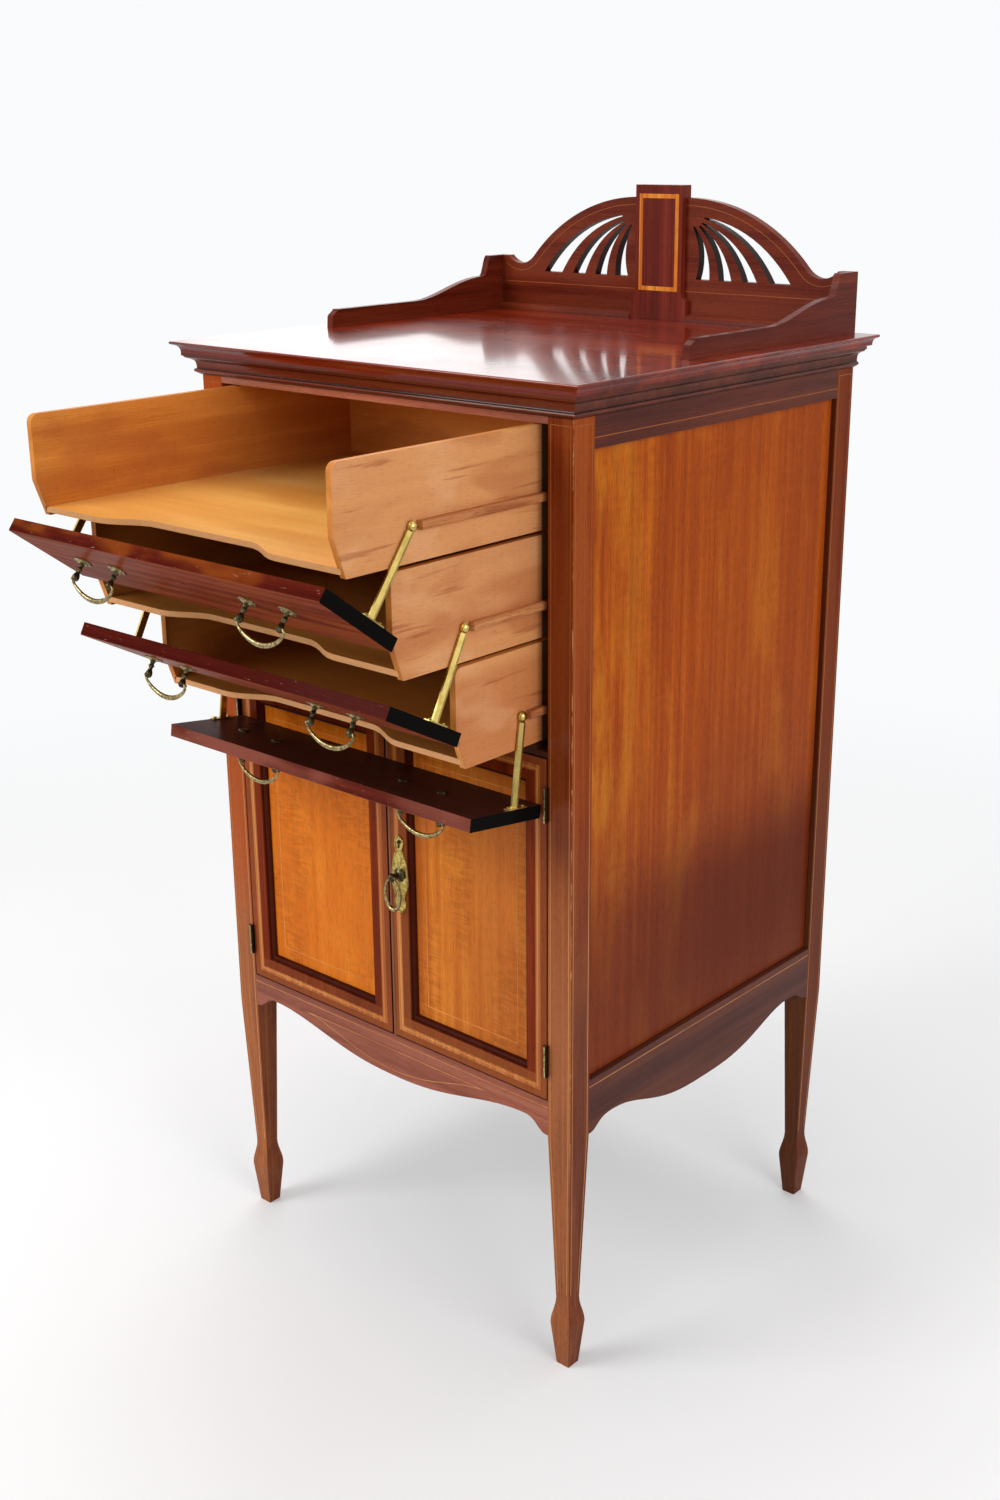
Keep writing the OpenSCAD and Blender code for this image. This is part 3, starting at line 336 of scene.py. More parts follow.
def post_wood():
    """Browner high up and paler low down with a painted sheen, golden on the left post, flecked along
    the outer corners, and with painted shade on the rear posts' front faces.
    """
    wood, gloss = mahogany(
        "post_mahogany", ((100, 40, 14), (144, 70, 30), (184, 104, 48)), UP, seed=1.0,
        coat=0.08, streak=0.35, ribbon=0.45, stripe_mm=5)
    wood.patches((176, 98, 48), size_mm=60, amount=0.5, stretch=5.0)
    front, side = wood.facing(-Y), wood.facing_out(ACROSS)
    high_up = wood.along(UP, 400 * MM, 720 * MM)
    low_down = wood.flip(high_up)
    # Painted sheen: paler and greyer low down, browner high up where the sheen is less
    wood.tint((112, 34, 4), front, high_up, 0.55)
    wood.tint((180, 114, 74), front, low_down, 0.5)
    golden = wood.along(UP, 360 * MM, 500 * MM, 0.0, 0.5)
    wood.tint((196, 84, 16), front, wood.below(ACROSS, 0.0), golden)
    wood.tint((160, 62, 4), side, high_up, 0.5)
    wood.tint((108, 60, 46), side, low_down, 0.55)
    worn = 1.3 * MM
    corner = wood.times(
        wood.fade(wood.distance(ACROSS), HALF_W - worn, HALF_W),
        wood.along(BACK, FRONT_Y + worn, FRONT_Y),
        wood.fade(wood.layer(across_mm=3, along_mm=14, detail=2.0), 0.5, 0.62, 0.0, 0.9))
    wood.tint((206, 150, 98), corner)
    # Painted shade on the rear posts' front faces beside the recessed panel; their outer sides are
    # darker too
    behind = wood.above(BACK, 0.0)
    wood.tint((84, 26, 8), side, behind, 0.5)
    wood.tint((48, 16, 7), front, behind, 0.7)
    return wood.polish(**gloss, shine=0.05)


def top_wood():
    """The glossiest wood, with the slow waves of a hand-rubbed polish."""
    wood, gloss = mahogany(
        "top_mahogany", ((92, 18, 6), (124, 30, 8), (150, 48, 14)), ACROSS, seed=5.0,
        rough=0.26, coat=0.7, coat_rough=0.085)
    return wood.polish(**gloss, pores=0.2, waves=7.0)


def dark_wood(name, colours, grain, seed):
    wood, gloss = mahogany(name, colours, grain, seed)
    return wood.polish(**gloss)


def cornice_wood():
    """Dark moulded strips: painted shade, nearly black, in the quirks, and worn to a gold fleck along
    the edges.
    """
    wood = Wood("cornice_mahogany", ((84, 30, 15), (108, 42, 22), (128, 56, 30)), ACROSS, seed=13.0)
    wood.tint((44, 18, 12), wood.facing_out(ACROSS, least=0.3), 0.35)
    level = low("cornice").z
    # Painted shade in the recessed quirks of the moulding
    for start_mm, end_mm, amount in CORNICE_QUIRK_SHADE:
        quirk = wood.between(UP, level + start_mm * MM, level + end_mm * MM)
        wood.tint((32, 9, 4), quirk, amount)
    flecks = wood.noise(wood.mapped((240, 240, 900), move=(3, 1, 0)), detail=2.0, roughness=0.6)
    wood.tint((176, 110, 48), wood.fade(flecks, 0.66, 0.72, 0.0, 0.55))
    return wood.polish(rough=0.32, coat=0.45, coat_rough=0.1, shine=0.06, pores=0.2)


def gallery_wood(name, grain, seed, colours=GALLERY_TONES):
    wood, gloss = mahogany(name, colours, grain, seed, coat=0.09)
    return wood.polish(**gloss, shine=0.06)


def gallery_back_wood():
    """As the gallery, with the sawn faces of the slots nearly black."""
    wood, gloss = mahogany("gallery_back_mahogany", GALLERY_TONES, ACROSS, seed=37.0, coat=0.09)
    start_x, arch_h, arch_r = gallery_arch()
    across = wood.math("SUBTRACT", wood.distance(ACROSS), start_x)
    up = wood.math("SUBTRACT", wood.place(UP), TOP_Z + arch_h - arch_r)
    squares = wood.math("ADD", wood.times(across, across), wood.times(up, up))
    rim, foot_z = 4 * MM, TOP_Z + 40 * MM
    inside = wood.math("LESS_THAN", wood.math("SQRT", squares), arch_r - rim)
    sawn = wood.flip(wood.facing_out(BACK))
    slots = wood.times(inside, sawn, wood.above(UP, foot_z))
    wood.tint((14, 12, 10), slots, 0.88)
    return wood.polish(**gloss, shine=0.06)


def side_panel_wood():
    """Striped panels, golden high up in front, red-brown low down with painted shade, and a line of
    painted shade in the groove.
    """
    wood = Wood(
        "side_panel_mahogany", ((158, 65, 10), (178, 79, 16), (198, 95, 22)), UP, seed=11.0,
        streak=0.25, ribbon=0.45, fibre=0.3, stripe_mm=9)
    wood.patches((220, 128, 30), size_mm=55, amount=0.5, stretch=4.0, start=0.52, end=0.72)
    wood.ripples(amount=0.16, size_mm=8)
    wood.patches((136, 54, 18), size_mm=110, amount=0.3, stretch=3.0, end=0.7)
    wood.tint((160, 70, 20), wood.along(BACK, 40 * MM, 200 * MM, 0.0, 0.4))
    gold = wood.times(
        wood.along(BACK, 60 * MM, -70 * MM, 0.0, 0.6),
        wood.fade(wood.layer(across_mm=34, along_mm=140, detail=3.0), 0.38, 0.66),
        wood.along(UP, 500 * MM, 660 * MM))
    wood.tint((222, 142, 36), gold)
    # Painted shade: darker and greyer towards the bottom
    wood.tint((112, 52, 36), wood.along(UP, 360 * MM, 780 * MM, 0.6, 0.0))
    # Painted shade: a dark red-brown band low on the panel, stronger towards the back
    band = wood.times(
        wood.along(UP, 620 * MM, 500 * MM),
        wood.along(UP, 300 * MM, 440 * MM, 0.55, 1.0),
        wood.along(BACK, -200 * MM, 200 * MM, 0.25, 0.75))
    wood.tint((90, 26, 6), band)
    # Painted shade: a dark line round the panel, where it sits recessed in the groove of the posts,
    # rails and aprons
    line = 1.4 * MM
    edge = wood.outside(
        BACK, FRONT_Y + POST + line, REAR_Y - POST - line,
        UP, high("side_aprons").z + line, low("side_rails").z - line)
    wood.tint((28, 10, 5), edge, 0.75)
    return wood.polish(rough=0.36, coat=0.06, coat_rough=0.14, shine=0.05, pores=0.35)


def door_panel_wood():
    """Golden panels with a fine ripple, the left one more orange and the right one browner."""
    wood = Wood(
        "door_panel_mahogany", ((190, 96, 26), (212, 116, 32), (230, 140, 48)), UP, seed=23.0,
        streak=0.45, ribbon=0.4, fibre=0.15, stripe_mm=13)
    wood.patches((178, 84, 22), size_mm=70, amount=0.35, stretch=4.0)
    wood.patches((244, 156, 48), size_mm=40, amount=0.45, stretch=2.5, start=0.54, end=0.74)
    wood.tint((238, 124, 16), wood.along(ACROSS, 40 * MM, 0.0, 0.0, 0.5))
    wood.tint((178, 92, 36), wood.along(ACROSS, 50 * MM, 160 * MM, 0.0, 0.6))
    wood.ripples(amount=0.32, size_mm=4)
    return wood.polish(rough=0.34, coat=0.06, coat_rough=0.14, shine=0.06, pores=0.25)


def door_frame_wood(side, rail_amount, light_stile):
    """Frame wood: paler outside the band, with painted shade, nearly black, on the moulding round the
    panel and along the frame's outer edges.
    """
    wood, gloss = mahogany(
        f"door_{side}_mahogany", ((102, 32, 9), (124, 44, 15), (144, 60, 25)), UP, seed=31.0,
        coat=0.04, streak=0.3, ribbon=0.3)
    wood.tint((160, 86, 46), wood.outside_box(f"door_{side}_banding"), 0.55)
    if light_stile:
        stile_x = low(f"door_{side}_frame").x
        stile = wood.along(ACROSS, stile_x + 26 * MM, stile_x + 30 * MM, 0.7, 0.0)
        wood.tint((146, 78, 40), stile)
    rail_z = low(f"door_{side}_panel").z + PANEL_HIDDEN
    wood.tint((152, 82, 40), wood.along(UP, rail_z - 1 * MM, rail_z, rail_amount, 0.0))
    # Painted shade on the recessed moulding round the panel
    moulding = wood.flip(wood.outside_box(f"door_{side}_panel", PANEL_HIDDEN))
    wood.tint((44, 12, 5), moulding, 0.75)
    # Painted shade: a nearly black line along the frame's outer edges, for the gaps beside them
    edge = wood.outside_box(f"door_{side}_frame", inset=0.9 * MM)
    wood.tint((22, 9, 5), edge, 0.85)
    return wood.polish(**gloss, shine=0.03)


def satinwood(name, colours, flame=0.4):
    wood = Wood(name, colours, UP, seed=41.0, streak=0.2, ribbon=0.5, stripe_mm=5)
    wood.patches((204, 104, 24), size_mm=14, amount=flame, stretch=1.5)
    return wood.polish(rough=0.34, coat=0.12, coat_rough=0.14, pores=0.1, edge_mm=0.1)


def boxwood(name, colours, aged=0.0):
    """Light line wood; the higher it sits the browner its old polish."""
    wood = Wood(name, colours, UP, seed=47.0)
    wood.tint((146, 66, 18), wood.along(UP, 500 * MM, 850 * MM, 0.0, aged))
    return wood.polish(rough=0.36, coat=0.1, coat_rough=0.15, pores=0.1, edge_mm=0.1)


def drawer_wood(name, grain, seed):
    """Golden inside the top drawer, with painted shade inside the others; outside pinker, paler and
    stained, and a painted shadow of the posts where it runs into the case."""
    wood = Wood(
        name, ((200, 118, 48), (222, 142, 62), (236, 160, 80)), grain, seed,
        streak=0.7, ribbon=0.15, fibre=0.15, stripe_mm=16)
    outside = wood.math("GREATER_THAN", wood.distance(ACROSS), high("drawer_1_sides").x - 1 * MM)
    wood.tint((222, 158, 110), outside, 0.62)
    top_z = high("drawer_3_sides").z
    lowest = wood.along(UP, top_z - 20 * MM, top_z, 0.5, 0.0)
    wood.tint((184, 96, 48), outside, lowest)
    wood.patches((180, 98, 52), size_mm=50, amount=0.455, stretch=2.5)
    pale = wood.fade(wood.layer(across_mm=45, along_mm=90, detail=2.0), 0.54, 0.72, 0.0, 0.35)
    wood.tint((236, 178, 130), outside, pale)
    torn = wood.fade(wood.layer(across_mm=8, along_mm=130, detail=3.0), 0.61, 0.7, 0.0, 0.5)
    wood.tint((160, 76, 40), outside, torn)
    # Painted shade on the inner faces of the lower drawers' sides
    shade = wood.times(wood.flip(outside), wood.below(UP, low("drawer_1_sides").z))
    wood.tint((104, 54, 20), shade, 0.5, wood.facing_out(ACROSS))
    # Painted shadow of the posts on the outer faces, from just behind the case's front
    run = wood.along(BACK, FRONT_Y + 7 * MM, FRONT_Y + 10 * MM, 0.0, 0.85)
    wood.tint(POST_SHADOW, outside, run)
    return wood.polish(rough=0.5, coat=0.05, coat_rough=0.3, pores=0.15, edge_mm=0.9)


def bottom_wood():
    """Drawer bottoms with a pale front edge, and painted shade in the lower drawers."""
    wood = Wood(
        "drawer_bottom", ((234, 160, 74), (244, 174, 86), (250, 188, 102)), ACROSS, seed=61.0,
        streak=0.7, ribbon=0.15, fibre=0.15)
    wood.patches((212, 130, 50), size_mm=90, amount=0.4, stretch=4.0)
    wood.tint((234, 170, 112), wood.facing(-Y))
    # Painted shade on the bottoms of the lower drawers
    shade = wood.times(wood.below(UP, low("drawer_1_sides").z), 0.5, wood.facing(Z))
    wood.tint((120, 66, 26), shade)
    return wood.polish(rough=0.42, coat=0.1, coat_rough=0.2, pores=0.15)


def runner_wood():
    wood = Wood(
        "runner_wood", ((176, 104, 58), (206, 136, 84), (224, 162, 110)), BACK, seed=67.0, fibre=0.3)
    wood.patches((146, 64, 34), size_mm=12, amount=0.6, stretch=9.0, end=0.64)
    # Painted shadow of the posts on the runner, from just behind the case's front
    wood.tint(POST_SHADOW, wood.along(BACK, FRONT_Y + 6 * MM, FRONT_Y + 8 * MM, 0.0, 0.85))
    return wood.polish(rough=0.5, coat=0.05, coat_rough=0.3)


def carcass_wood():
    wood = Wood("carcass_wood", ((40, 17, 9), (62, 29, 16), (84, 42, 24)), UP, seed=71.0)
    return wood.polish(rough=0.6, coat=0.05, coat_rough=0.4)


def front_wood(index, lean):
    """A falling front: red chipped top edge, paler outer face, dark inner face and black ends."""
    outer = Vector((0, -math.cos(lean), -math.sin(lean)))
    upper = Vector((0, -math.sin(lean), math.cos(lean)))
    wood = Wood(
        f"front_mahogany_{index}", ((66, 16, 8), (102, 28, 14), (134, 48, 24)), ACROSS,
        seed=81.0 + 7 * index, streak=0.4, ribbon=0.4, stripe_mm=6)
    edge = wood.facing(upper)
    wood.patches((84, 18, 10), size_mm=40, amount=0.5, stretch=3.0)
    wood.tint((66, 6, 1), edge, 0.55)
    if index == 1:
        # Only the top front is golden in patches
        wood.patches((146, 70, 18), size_mm=34, amount=0.7, stretch=3.2, start=0.46, end=0.62)
    chips = wood.fade(wood.layer(across_mm=2.4, along_mm=11, detail=2.0), 0.68, 0.73, 0.0, 0.5)
    wood.tint((178, 134, 116), chips, edge)
    if index == 3:
        # Painted sheen: pale pinkish patches along the lowest front's edge
        worn = wood.fade(wood.layer(across_mm=60, along_mm=160, detail=2.0), 0.4, 0.6, 0.1, 0.6)
        wood.tint((168, 100, 84), edge, worn)
    wood.tint((52, 29, 23), wood.facing(-outer), 0.88)
    wood.tint((160, 80, 52), wood.facing(outer), 0.6)
    figure = wood.fade(wood.layer(across_mm=9, along_mm=260, detail=3.0), 0.42, 0.6, 0.0, 0.6)
    wood.tint((92, 32, 17), wood.facing(outer), figure)
    wood.tint((14, 13, 12), wood.facing_out(ACROSS))
    return wood.polish(rough=0.34, coat=0.02, coat_rough=0.09, shine=0.01, pores=0.15, edge_mm=0.9)


def metal(name, bright, dull, rough, seed, wear_mm, dents):
    """Old brass: a dull skin that is worn bright in spots, with small dents."""
    finish = Finish(name)
    wear = finish.mapped([per_metre(wear_mm)] * 3, move=(seed, seed, 0))
    skin = finish.noise(wear, detail=4.0, roughness=0.65)
    colour = finish.ramp(skin, ((0.38, srgb(*dull)), (0.62, srgb(*bright))))
    grains = finish.mapped((900, 900, 900), move=(0, seed, seed))
    grit = finish.noise(grains, detail=3.0, roughness=0.6)
    finish.set(Base_Color=colour, Metallic=1.0)
    finish.set(Roughness=finish.fade(skin, 0.3, 0.7, rough * 1.35, rough * 0.75))
    finish.bump(grit, strength=dents, distance=0.12 * MM, edge=0.3 * MM)
    return finish.material


def hinge_metal():
    """Hinge brass, bright along the front of the knuckles, with painted shade, nearly black, to either
    side for the gap.
    """
    finish = Finish("hinge_brass")
    skin = finish.noise(finish.mapped((250, 250, 250)), detail=3.0, roughness=0.6)
    pin_x = abs(pivot("door_right_swing").x)
    across = finish.math("ABSOLUTE", finish.math("SUBTRACT", finish.distance(ACROSS), pin_x))
    worn = finish.fade(across, 0.6 * MM, 1.4 * MM, 1.0, 0.0)
    bright = finish.ramp(skin, ((0.38, srgb(96, 80, 48)), (0.6, srgb(204, 184, 130))))
    # Painted shade: nearly black brass away from the front of the knuckle
    finish.set(Base_Color=finish.mix(worn, srgb(40, 30, 18), bright), Metallic=1.0, Roughness=0.42)
    return finish.material


def show(thing):
    bpy.context.scene.collection.objects.link(thing)


def dress(names, material):
    for name in names:
        slots = nodes[name].data.materials
        slots.clear()
        slots.append(material)


# Meshes
# How far an inlaid line stands out of its surface, and how far it reaches into it
LINE_RISE, LINE_SINK = 0.12 * MM, 0.3 * MM
# The least cosine that a mitre is stretched by, so that a sharp corner stays short
LEAST_MITRE = 0.3
# Edges that turn by more than this, in degrees, are shaded sharp
SHARP = 40
# The radius that the tip of a turned form keeps
TIP_R = 0.01 * MM


class Shell:
    """The points and faces of a piece while it is put together."""

    def __init__(self):
        self.points = []
        self.faces = []

    def add(self, points, faces):
        first = len(self.points)
        self.points += [Vector(point) for point in points]
        self.faces += [[first + index for index in face] for face in faces]

    def ribbon(self, path, width, normal, closed=False):
        """A flat inlaid strip along a path, mitred at its corners and a hair proud of the surface."""
        count = len(path)
        rows = []
        for index, point in enumerate(path):
            before = path[index - 1] if index or closed else None
            after = path[(index + 1) % count] if index < count - 1 or closed else None
            ends = ((before, point), (point, after))
            ways = [(b - a).normalized() for a, b in ends if a is not None and b is not None]
            sides = [normal.cross(way) for way in ways]
            side = sum(sides, Vector()).normalized()
            side *= width / 2 / max(LEAST_MITRE, side.dot(sides[0]))
            rows.append([
                point - side - normal * LINE_SINK, point - side + normal * LINE_RISE,
                point + side + normal * LINE_RISE, point + side - normal * LINE_SINK])
        self.rows(rows, closed_path=closed, closed_row=False)

    def rows(self, rows, closed_path=False, closed_row=True):
        """Joins rows of points, each as long as the next, and closes the ends of an open path."""
        size = len(rows[0])
        faces = []
        last = len(rows) if closed_path else len(rows) - 1
        for row in range(last):
            upper = (row + 1) % len(rows)
            for index in range(size if closed_row else size - 1):
                right = (index + 1) % size
                faces.append([
                    row * size + index, row * size + right,
                    upper * size + right, upper * size + index])
        if not closed_path:
            faces.append(list(range(size))[::-1])
            faces.append([(len(rows) - 1) * size + index for index in range(size)])
        self.add([point for row in rows for point in row], faces)

    def lathe(self, profile, place, axis, turns, lobes=0, lobe_depth=0.0):
        """A turned form: profile pairs are a radius and a distance along the axis from place."""
        side = axis.orthogonal().normalized()
        other = axis.cross(side)
        rows = []
        for radius, along in profile:
            row = []
            for turn in range(turns):
                angle = 2 * math.pi * turn / turns
                r = max(radius, TIP_R) * (1 + lobe_depth * math.cos(lobes * angle))
                turned = side * (r * math.cos(angle)) + other * (r * math.sin(angle))
                row.append(place + axis * along + turned)
            rows.append(row)
        self.rows(rows)

    def sweep(self, path, radii, normal, sides, closed=False, flat=1.0):
        """A round rod along a path in the plane of normal, with a radius at each point."""
        count = len(path)
        rows = []
        for index, point in enumerate(path):
            before = path[index - 1] if index or closed else point
            after = path[(index + 1) % count] if index < count - 1 or closed else point
            way = (after - before).normalized()
            side = normal.cross(way)
            rows.append([
                point + side * (radii[index] * math.cos(2 * math.pi * k / sides))
                + normal * (radii[index] * flat * math.sin(2 * math.pi * k / sides))
                for k in range(sides)])
        self.rows(rows, closed_path=closed)

    def moved(self, matrix):
        self.points = [matrix @ point for point in self.points]

    def piece(self, name, material, body, slot, stands_for=()):
        mesh = bpy.data.meshes.new(name)
        mesh.from_pydata([tuple(point) for point in self.points], [], self.faces)
        mesh.materials.append(material)
        mesh.polygons.foreach_set("use_smooth", [True] * len(mesh.polygons))
        mesh.set_sharp_from_angle(angle=math.radians(SHARP))
        mesh.validate()
        thing = bpy.data.objects.new(name, mesh)
        show(thing)
        bpy.context.view_layer.update()
        if stands_for:
            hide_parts(*stands_for)
        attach(thing, body)


def mm(profile):
    """A profile written in millimetres, turned into metres."""
    return [(radius * MM, along * MM) for radius, along in profile]


def bead(u, place, width, height):
    """A smooth swelling of some height at a place, that fades over a width to either side."""
    return height * math.exp(-((u - place) / width) ** 2)


def arc(centre, across, up, radius, start, end, steps):
    """Points on an arc in the plane of two directions, angles in degrees."""
    points = []
    for k in range(steps + 1):
        angle = math.radians(start + (end - start) * k / steps)
        points.append(centre + across * (radius * math.cos(angle)) + up * (radius * math.sin(angle)))
    return points


# Inlaid lines
LINE = 0.8 * MM


def case_lines(material):
    """Stringing on the posts, rails, aprons and gallery."""
    shell = Shell()
    post_lines(shell)
    rail_lines(shell)
    apron_lines(shell)
    gallery_lines(shell)
    shell.piece("case_stringing", material, "cabinet", slot="satinwood")


def leg_half(z):
    """Half width of a leg at a height, on its straight taper."""
    full = POST / 2
    return full if z >= LEG_Z else NECK_HALF + (full - NECK_HALF) * (z - NECK_Z) / (LEG_Z - NECK_Z)


def post_lines(shell):
    """A line up, over and down each front face and each outer side face of the posts."""
    inset, top, bottom = 3.2 * MM, 1047 * MM, 94 * MM
    heights = (top, LEG_Z, bottom)
    for side in SIDES:
        middle_x = side * (HALF_W - POST / 2)
        middle_ys = (FRONT_Y + POST / 2, REAR_Y - POST / 2)
        post_face_line(shell, Vector((middle_x, middle_ys[0], 0)), X, -Y, heights, inset)
        for middle_y in middle_ys:
            post_face_line(shell, Vector((middle_x, middle_y, 0)), Y, side * X, heights, inset)


def post_face_line(shell, middle, across, normal, heights, inset):
    """The line on one tapering face of a post, whose axis runs through middle."""
    path = []
    for way, zs in ((-1, heights[::-1]), (1, heights)):
        for z in zs:
            half = leg_half(z)
            path.append(middle + across * (way * (half - inset)) + normal * half + Z * z)
    shell.ribbon(path, LINE, normal)


def rail_lines(shell):
    """A straight line along each side rail and each side apron."""
    rail_z, apron_z = low("side_rails").z + 10.6 * MM, high("side_aprons").z - 8.5 * MM
    for side in SIDES:
        for z in (rail_z, apron_z):
            ends = [Vector((side * HALF_W, y, z)) for y in (FRONT_Y + POST, REAR_Y - POST)]
            shell.ribbon(ends, LINE, side * X)


def apron_lines(shell):
    """A straight line under the doors, and a lens over the apron's shaped foot."""
    floor_z = high("front_apron").z
    straight_z, lens_z = floor_z - 8 * MM, floor_z - 20.5 * MM
    ends = [Vector((x, FRONT_Y, straight_z)) for x in (-INNER_X, INNER_X)]
    shell.ribbon(ends, LINE, -Y)
    half, deep, fullness, steps = 150 * MM, low("front_apron").z + 7 * MM, 1.15, 12
    lens = [Vector((half * (k / steps - 1), FRONT_Y, lens_z)) for k in range(2 * steps)]
    for k in range(2 * steps + 1):
        turn = k / steps - 1
        z = lens_z - (lens_z - deep) * (1 + math.cos(math.pi * abs(turn) ** fullness)) / 2
        lens.append(Vector((-half * turn, FRONT_Y, z)))
    shell.ribbon(lens, LINE, -Y)


def gallery_lines(shell):
    """A line that follows the arch, the dip and the foot of each half of the gallery."""
    y = low("gallery_back").y
    inset = 8.5 * MM
    start_x, arch_z, arch_r = gallery_arch()
    dip_x = GALLERY_HALF_W - DIP_IN
    turn = math.degrees(math.atan2(DIP_H + DIP_R - arch_z + arch_r, dip_x - start_x))
    first_x, end_x, end_z, foot_z = 34.5 * MM, 244.5 * MM, 58 * MM, 34.5 * MM
    for side in SIDES:
        across = side * X
        base = Vector((0, y, TOP_Z))
        centre = base + across * start_x + Z * (arch_z - arch_r)
        path = arc(centre, across, Z, arch_r - inset, start=90, end=turn, steps=24)
        dip = base + across * dip_x + Z * (DIP_H + DIP_R)
        path += arc(dip, across, Z, DIP_R + inset, start=180 + turn, end=310, steps=10)
        path += [base + across * end_x + Z * end_z, base + across * end_x + Z * foot_z]
        path += [base + across * first_x + Z * foot_z]
        shell.ribbon(path if side > 0 else path[::-1], LINE, -Y)


def door_lines(material):
    """A bright line along the middle of each door's banding, and a fine one on its panel."""
    for side in ("left", "right"):
        shell = Shell()
        rectangle(shell, f"door_{side}_banding", 4.2 * MM, FRONT_Y, width=1.3 * MM)
        panel = f"door_{side}_panel"
        rectangle(shell, panel, 24 * MM, low(panel).y, width=1.0 * MM)
        shell.piece(f"door_{side}_stringing", material, f"door_{side}", slot="satinwood")


def rectangle(shell, node, inset, y, width):
    """A closed line that runs inside a node's box, as the front shows it."""
    (left, _, bottom), (right, _, top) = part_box(node)
    x0, x1 = left + inset, right - inset
    z0, z1 = bottom + inset, top - inset
    corners = [Vector((x, y, z)) for x, z in ((x0, z0), (x1, z0), (x1, z1), (x0, z1))]
    shell.ribbon(corners, width, -Y, closed=True)


# Brasses of the falling fronts
# The handles' middles, and how far to either side the posts and the bail's ends are
HANDLE_XS = {"left": -134 * MM, "right": 115 * MM}
POST_X, BAIL_X = 27.5 * MM, 32.4 * MM
# From a front's pivot to its inner face, its thickness, and the handles' height over the pivot
ARM, FRONT_T, HANDLE_UP = 93 * MM, 14 * MM, 20 * MM


def lean_of(index):
    """How far a front hangs from upright, in radians."""
    return -math.radians(joints[f"fall_{index}_hinge"]["range_deg"][0])


def front_frame(index):
    """From the upright front with its pivot at the origin to where the fallen front is."""
    place = pivot(f"fall_{index}_hinge")
    return Matrix.Translation(place) @ Matrix.Rotation(lean_of(index), 4, "X")


def handle_fittings(index, bright, dark):
    """Scalloped backplates, dark posts with turned knobs, and dark round nuts inside."""
    plates, posts = Shell(), Shell()
    face, inner = -ARM - FRONT_T, -ARM
    plate = (
        (9.4, 0), (9.7, 0.5), (9.3, 1.1), (8.2, 1.3), (7.4, 1.0), (6.8, 1.4), (5.4, 2.4), (4.2, 3.0),
        (0, 3.1))
    post = (
        (3.4, 2.8), (3.2, 3.6), (2.5, 4.6), (2.2, 6.2), (2.5, 7.6), (3.3, 8.3), (3.3, 9.0), (2.4, 9.8),
        (2.0, 11.4), (2.3, 13.0), (3.0, 14.4), (3.6, 16.2), (3.8, 18.0), (3.5, 19.6), (2.5, 21.0),
        (1.0, 21.7), (0, 21.8))
    nut = ((6.2, 0), (6.2, 1.5), (5.6, 2.2), (4.2, 2.5), (2.4, 2.5), (2.2, 2.2), (0, 2.2))
    for x in HANDLE_XS.values():
        for side in SIDES:
            place = Vector((x + side * POST_X, face, HANDLE_UP))
            plates.lathe(mm(plate), place, -Y, turns=48, lobes=12, lobe_depth=0.03)
            posts.lathe(mm(post), place, -Y, turns=28)
            place = Vector((x + side * POST_X, inner, HANDLE_UP))
            posts.lathe(mm(nut), place, Y, turns=28)
    body, node = f"fall_{index}", f"front_{index}_fittings"
    plates.moved(front_frame(index))
    plates.piece(f"handle_plates_{index}", bright, body, "handle_brass", (node,))
    posts.moved(front_frame(index))
    posts.piece(f"handle_posts_{index}", dark, body, "handle_brass", (node,))


def bail_path():
    """The bail's centre line from its left end to its right end: two small arcs and a wide one."""
    end_x, side_r, drop = BAIL_X, 12 * MM, 19.5 * MM
    middle_x = end_x - side_r
    rise = (middle_x ** 2 - (drop - side_r) ** 2) / (2 * (drop - side_r))
    turn = math.degrees(math.atan2(rise, middle_x))
    path = arc(-X * middle_x, X, Z, side_r, 180, 180 + turn, steps=12)
    path += arc(Z * rise, X, Z, drop + rise, 180 + turn, 360 - turn, steps=36)[1:]
    path += arc(X * middle_x, X, Z, side_r, 360 - turn, 360, steps=12)[1:]
    return path


def bail_radius_mm(u):
    """Radius of a bail at a share u of the way from its middle to an end."""
    thin, swell, neck, engraved = 1.4, 1.35, 0.8, 0.6
    radius = thin
    if u < neck:
        radius += swell * math.cos(math.pi / 2 * (u / neck)) ** 1.2
    radius += bead(u, place=0.96, width=0.035, height=1.1) + bead(u, neck, width=0.025, height=0.5)
    if u < engraved:
        radius += 0.12 * math.cos(70 * u)
    return radius


def bail(index, side, material):
    """A swelling bail with ball ends and an engraved middle."""
    path = bail_path()
    last = len(path) - 1
    radii = [bail_radius_mm(abs(2 * k / last - 1)) * MM for k in range(last + 1)]
    shell = Shell()
    shell.sweep(path, radii, Y, sides=14, flat=0.8)
    pin = ((1.4, 0), (1.4, 7.0))
    for end in SIDES:
        shell.lathe(mm(pin), X * (end * BAIL_X), -end * X, turns=12)
    node = f"bail_{index}_{side}"
    shell.moved(Matrix.Translation(pivot(f"{node}_swing")))
    shell.piece(f"{node}_rod", material, node, "handle_brass", (node,))


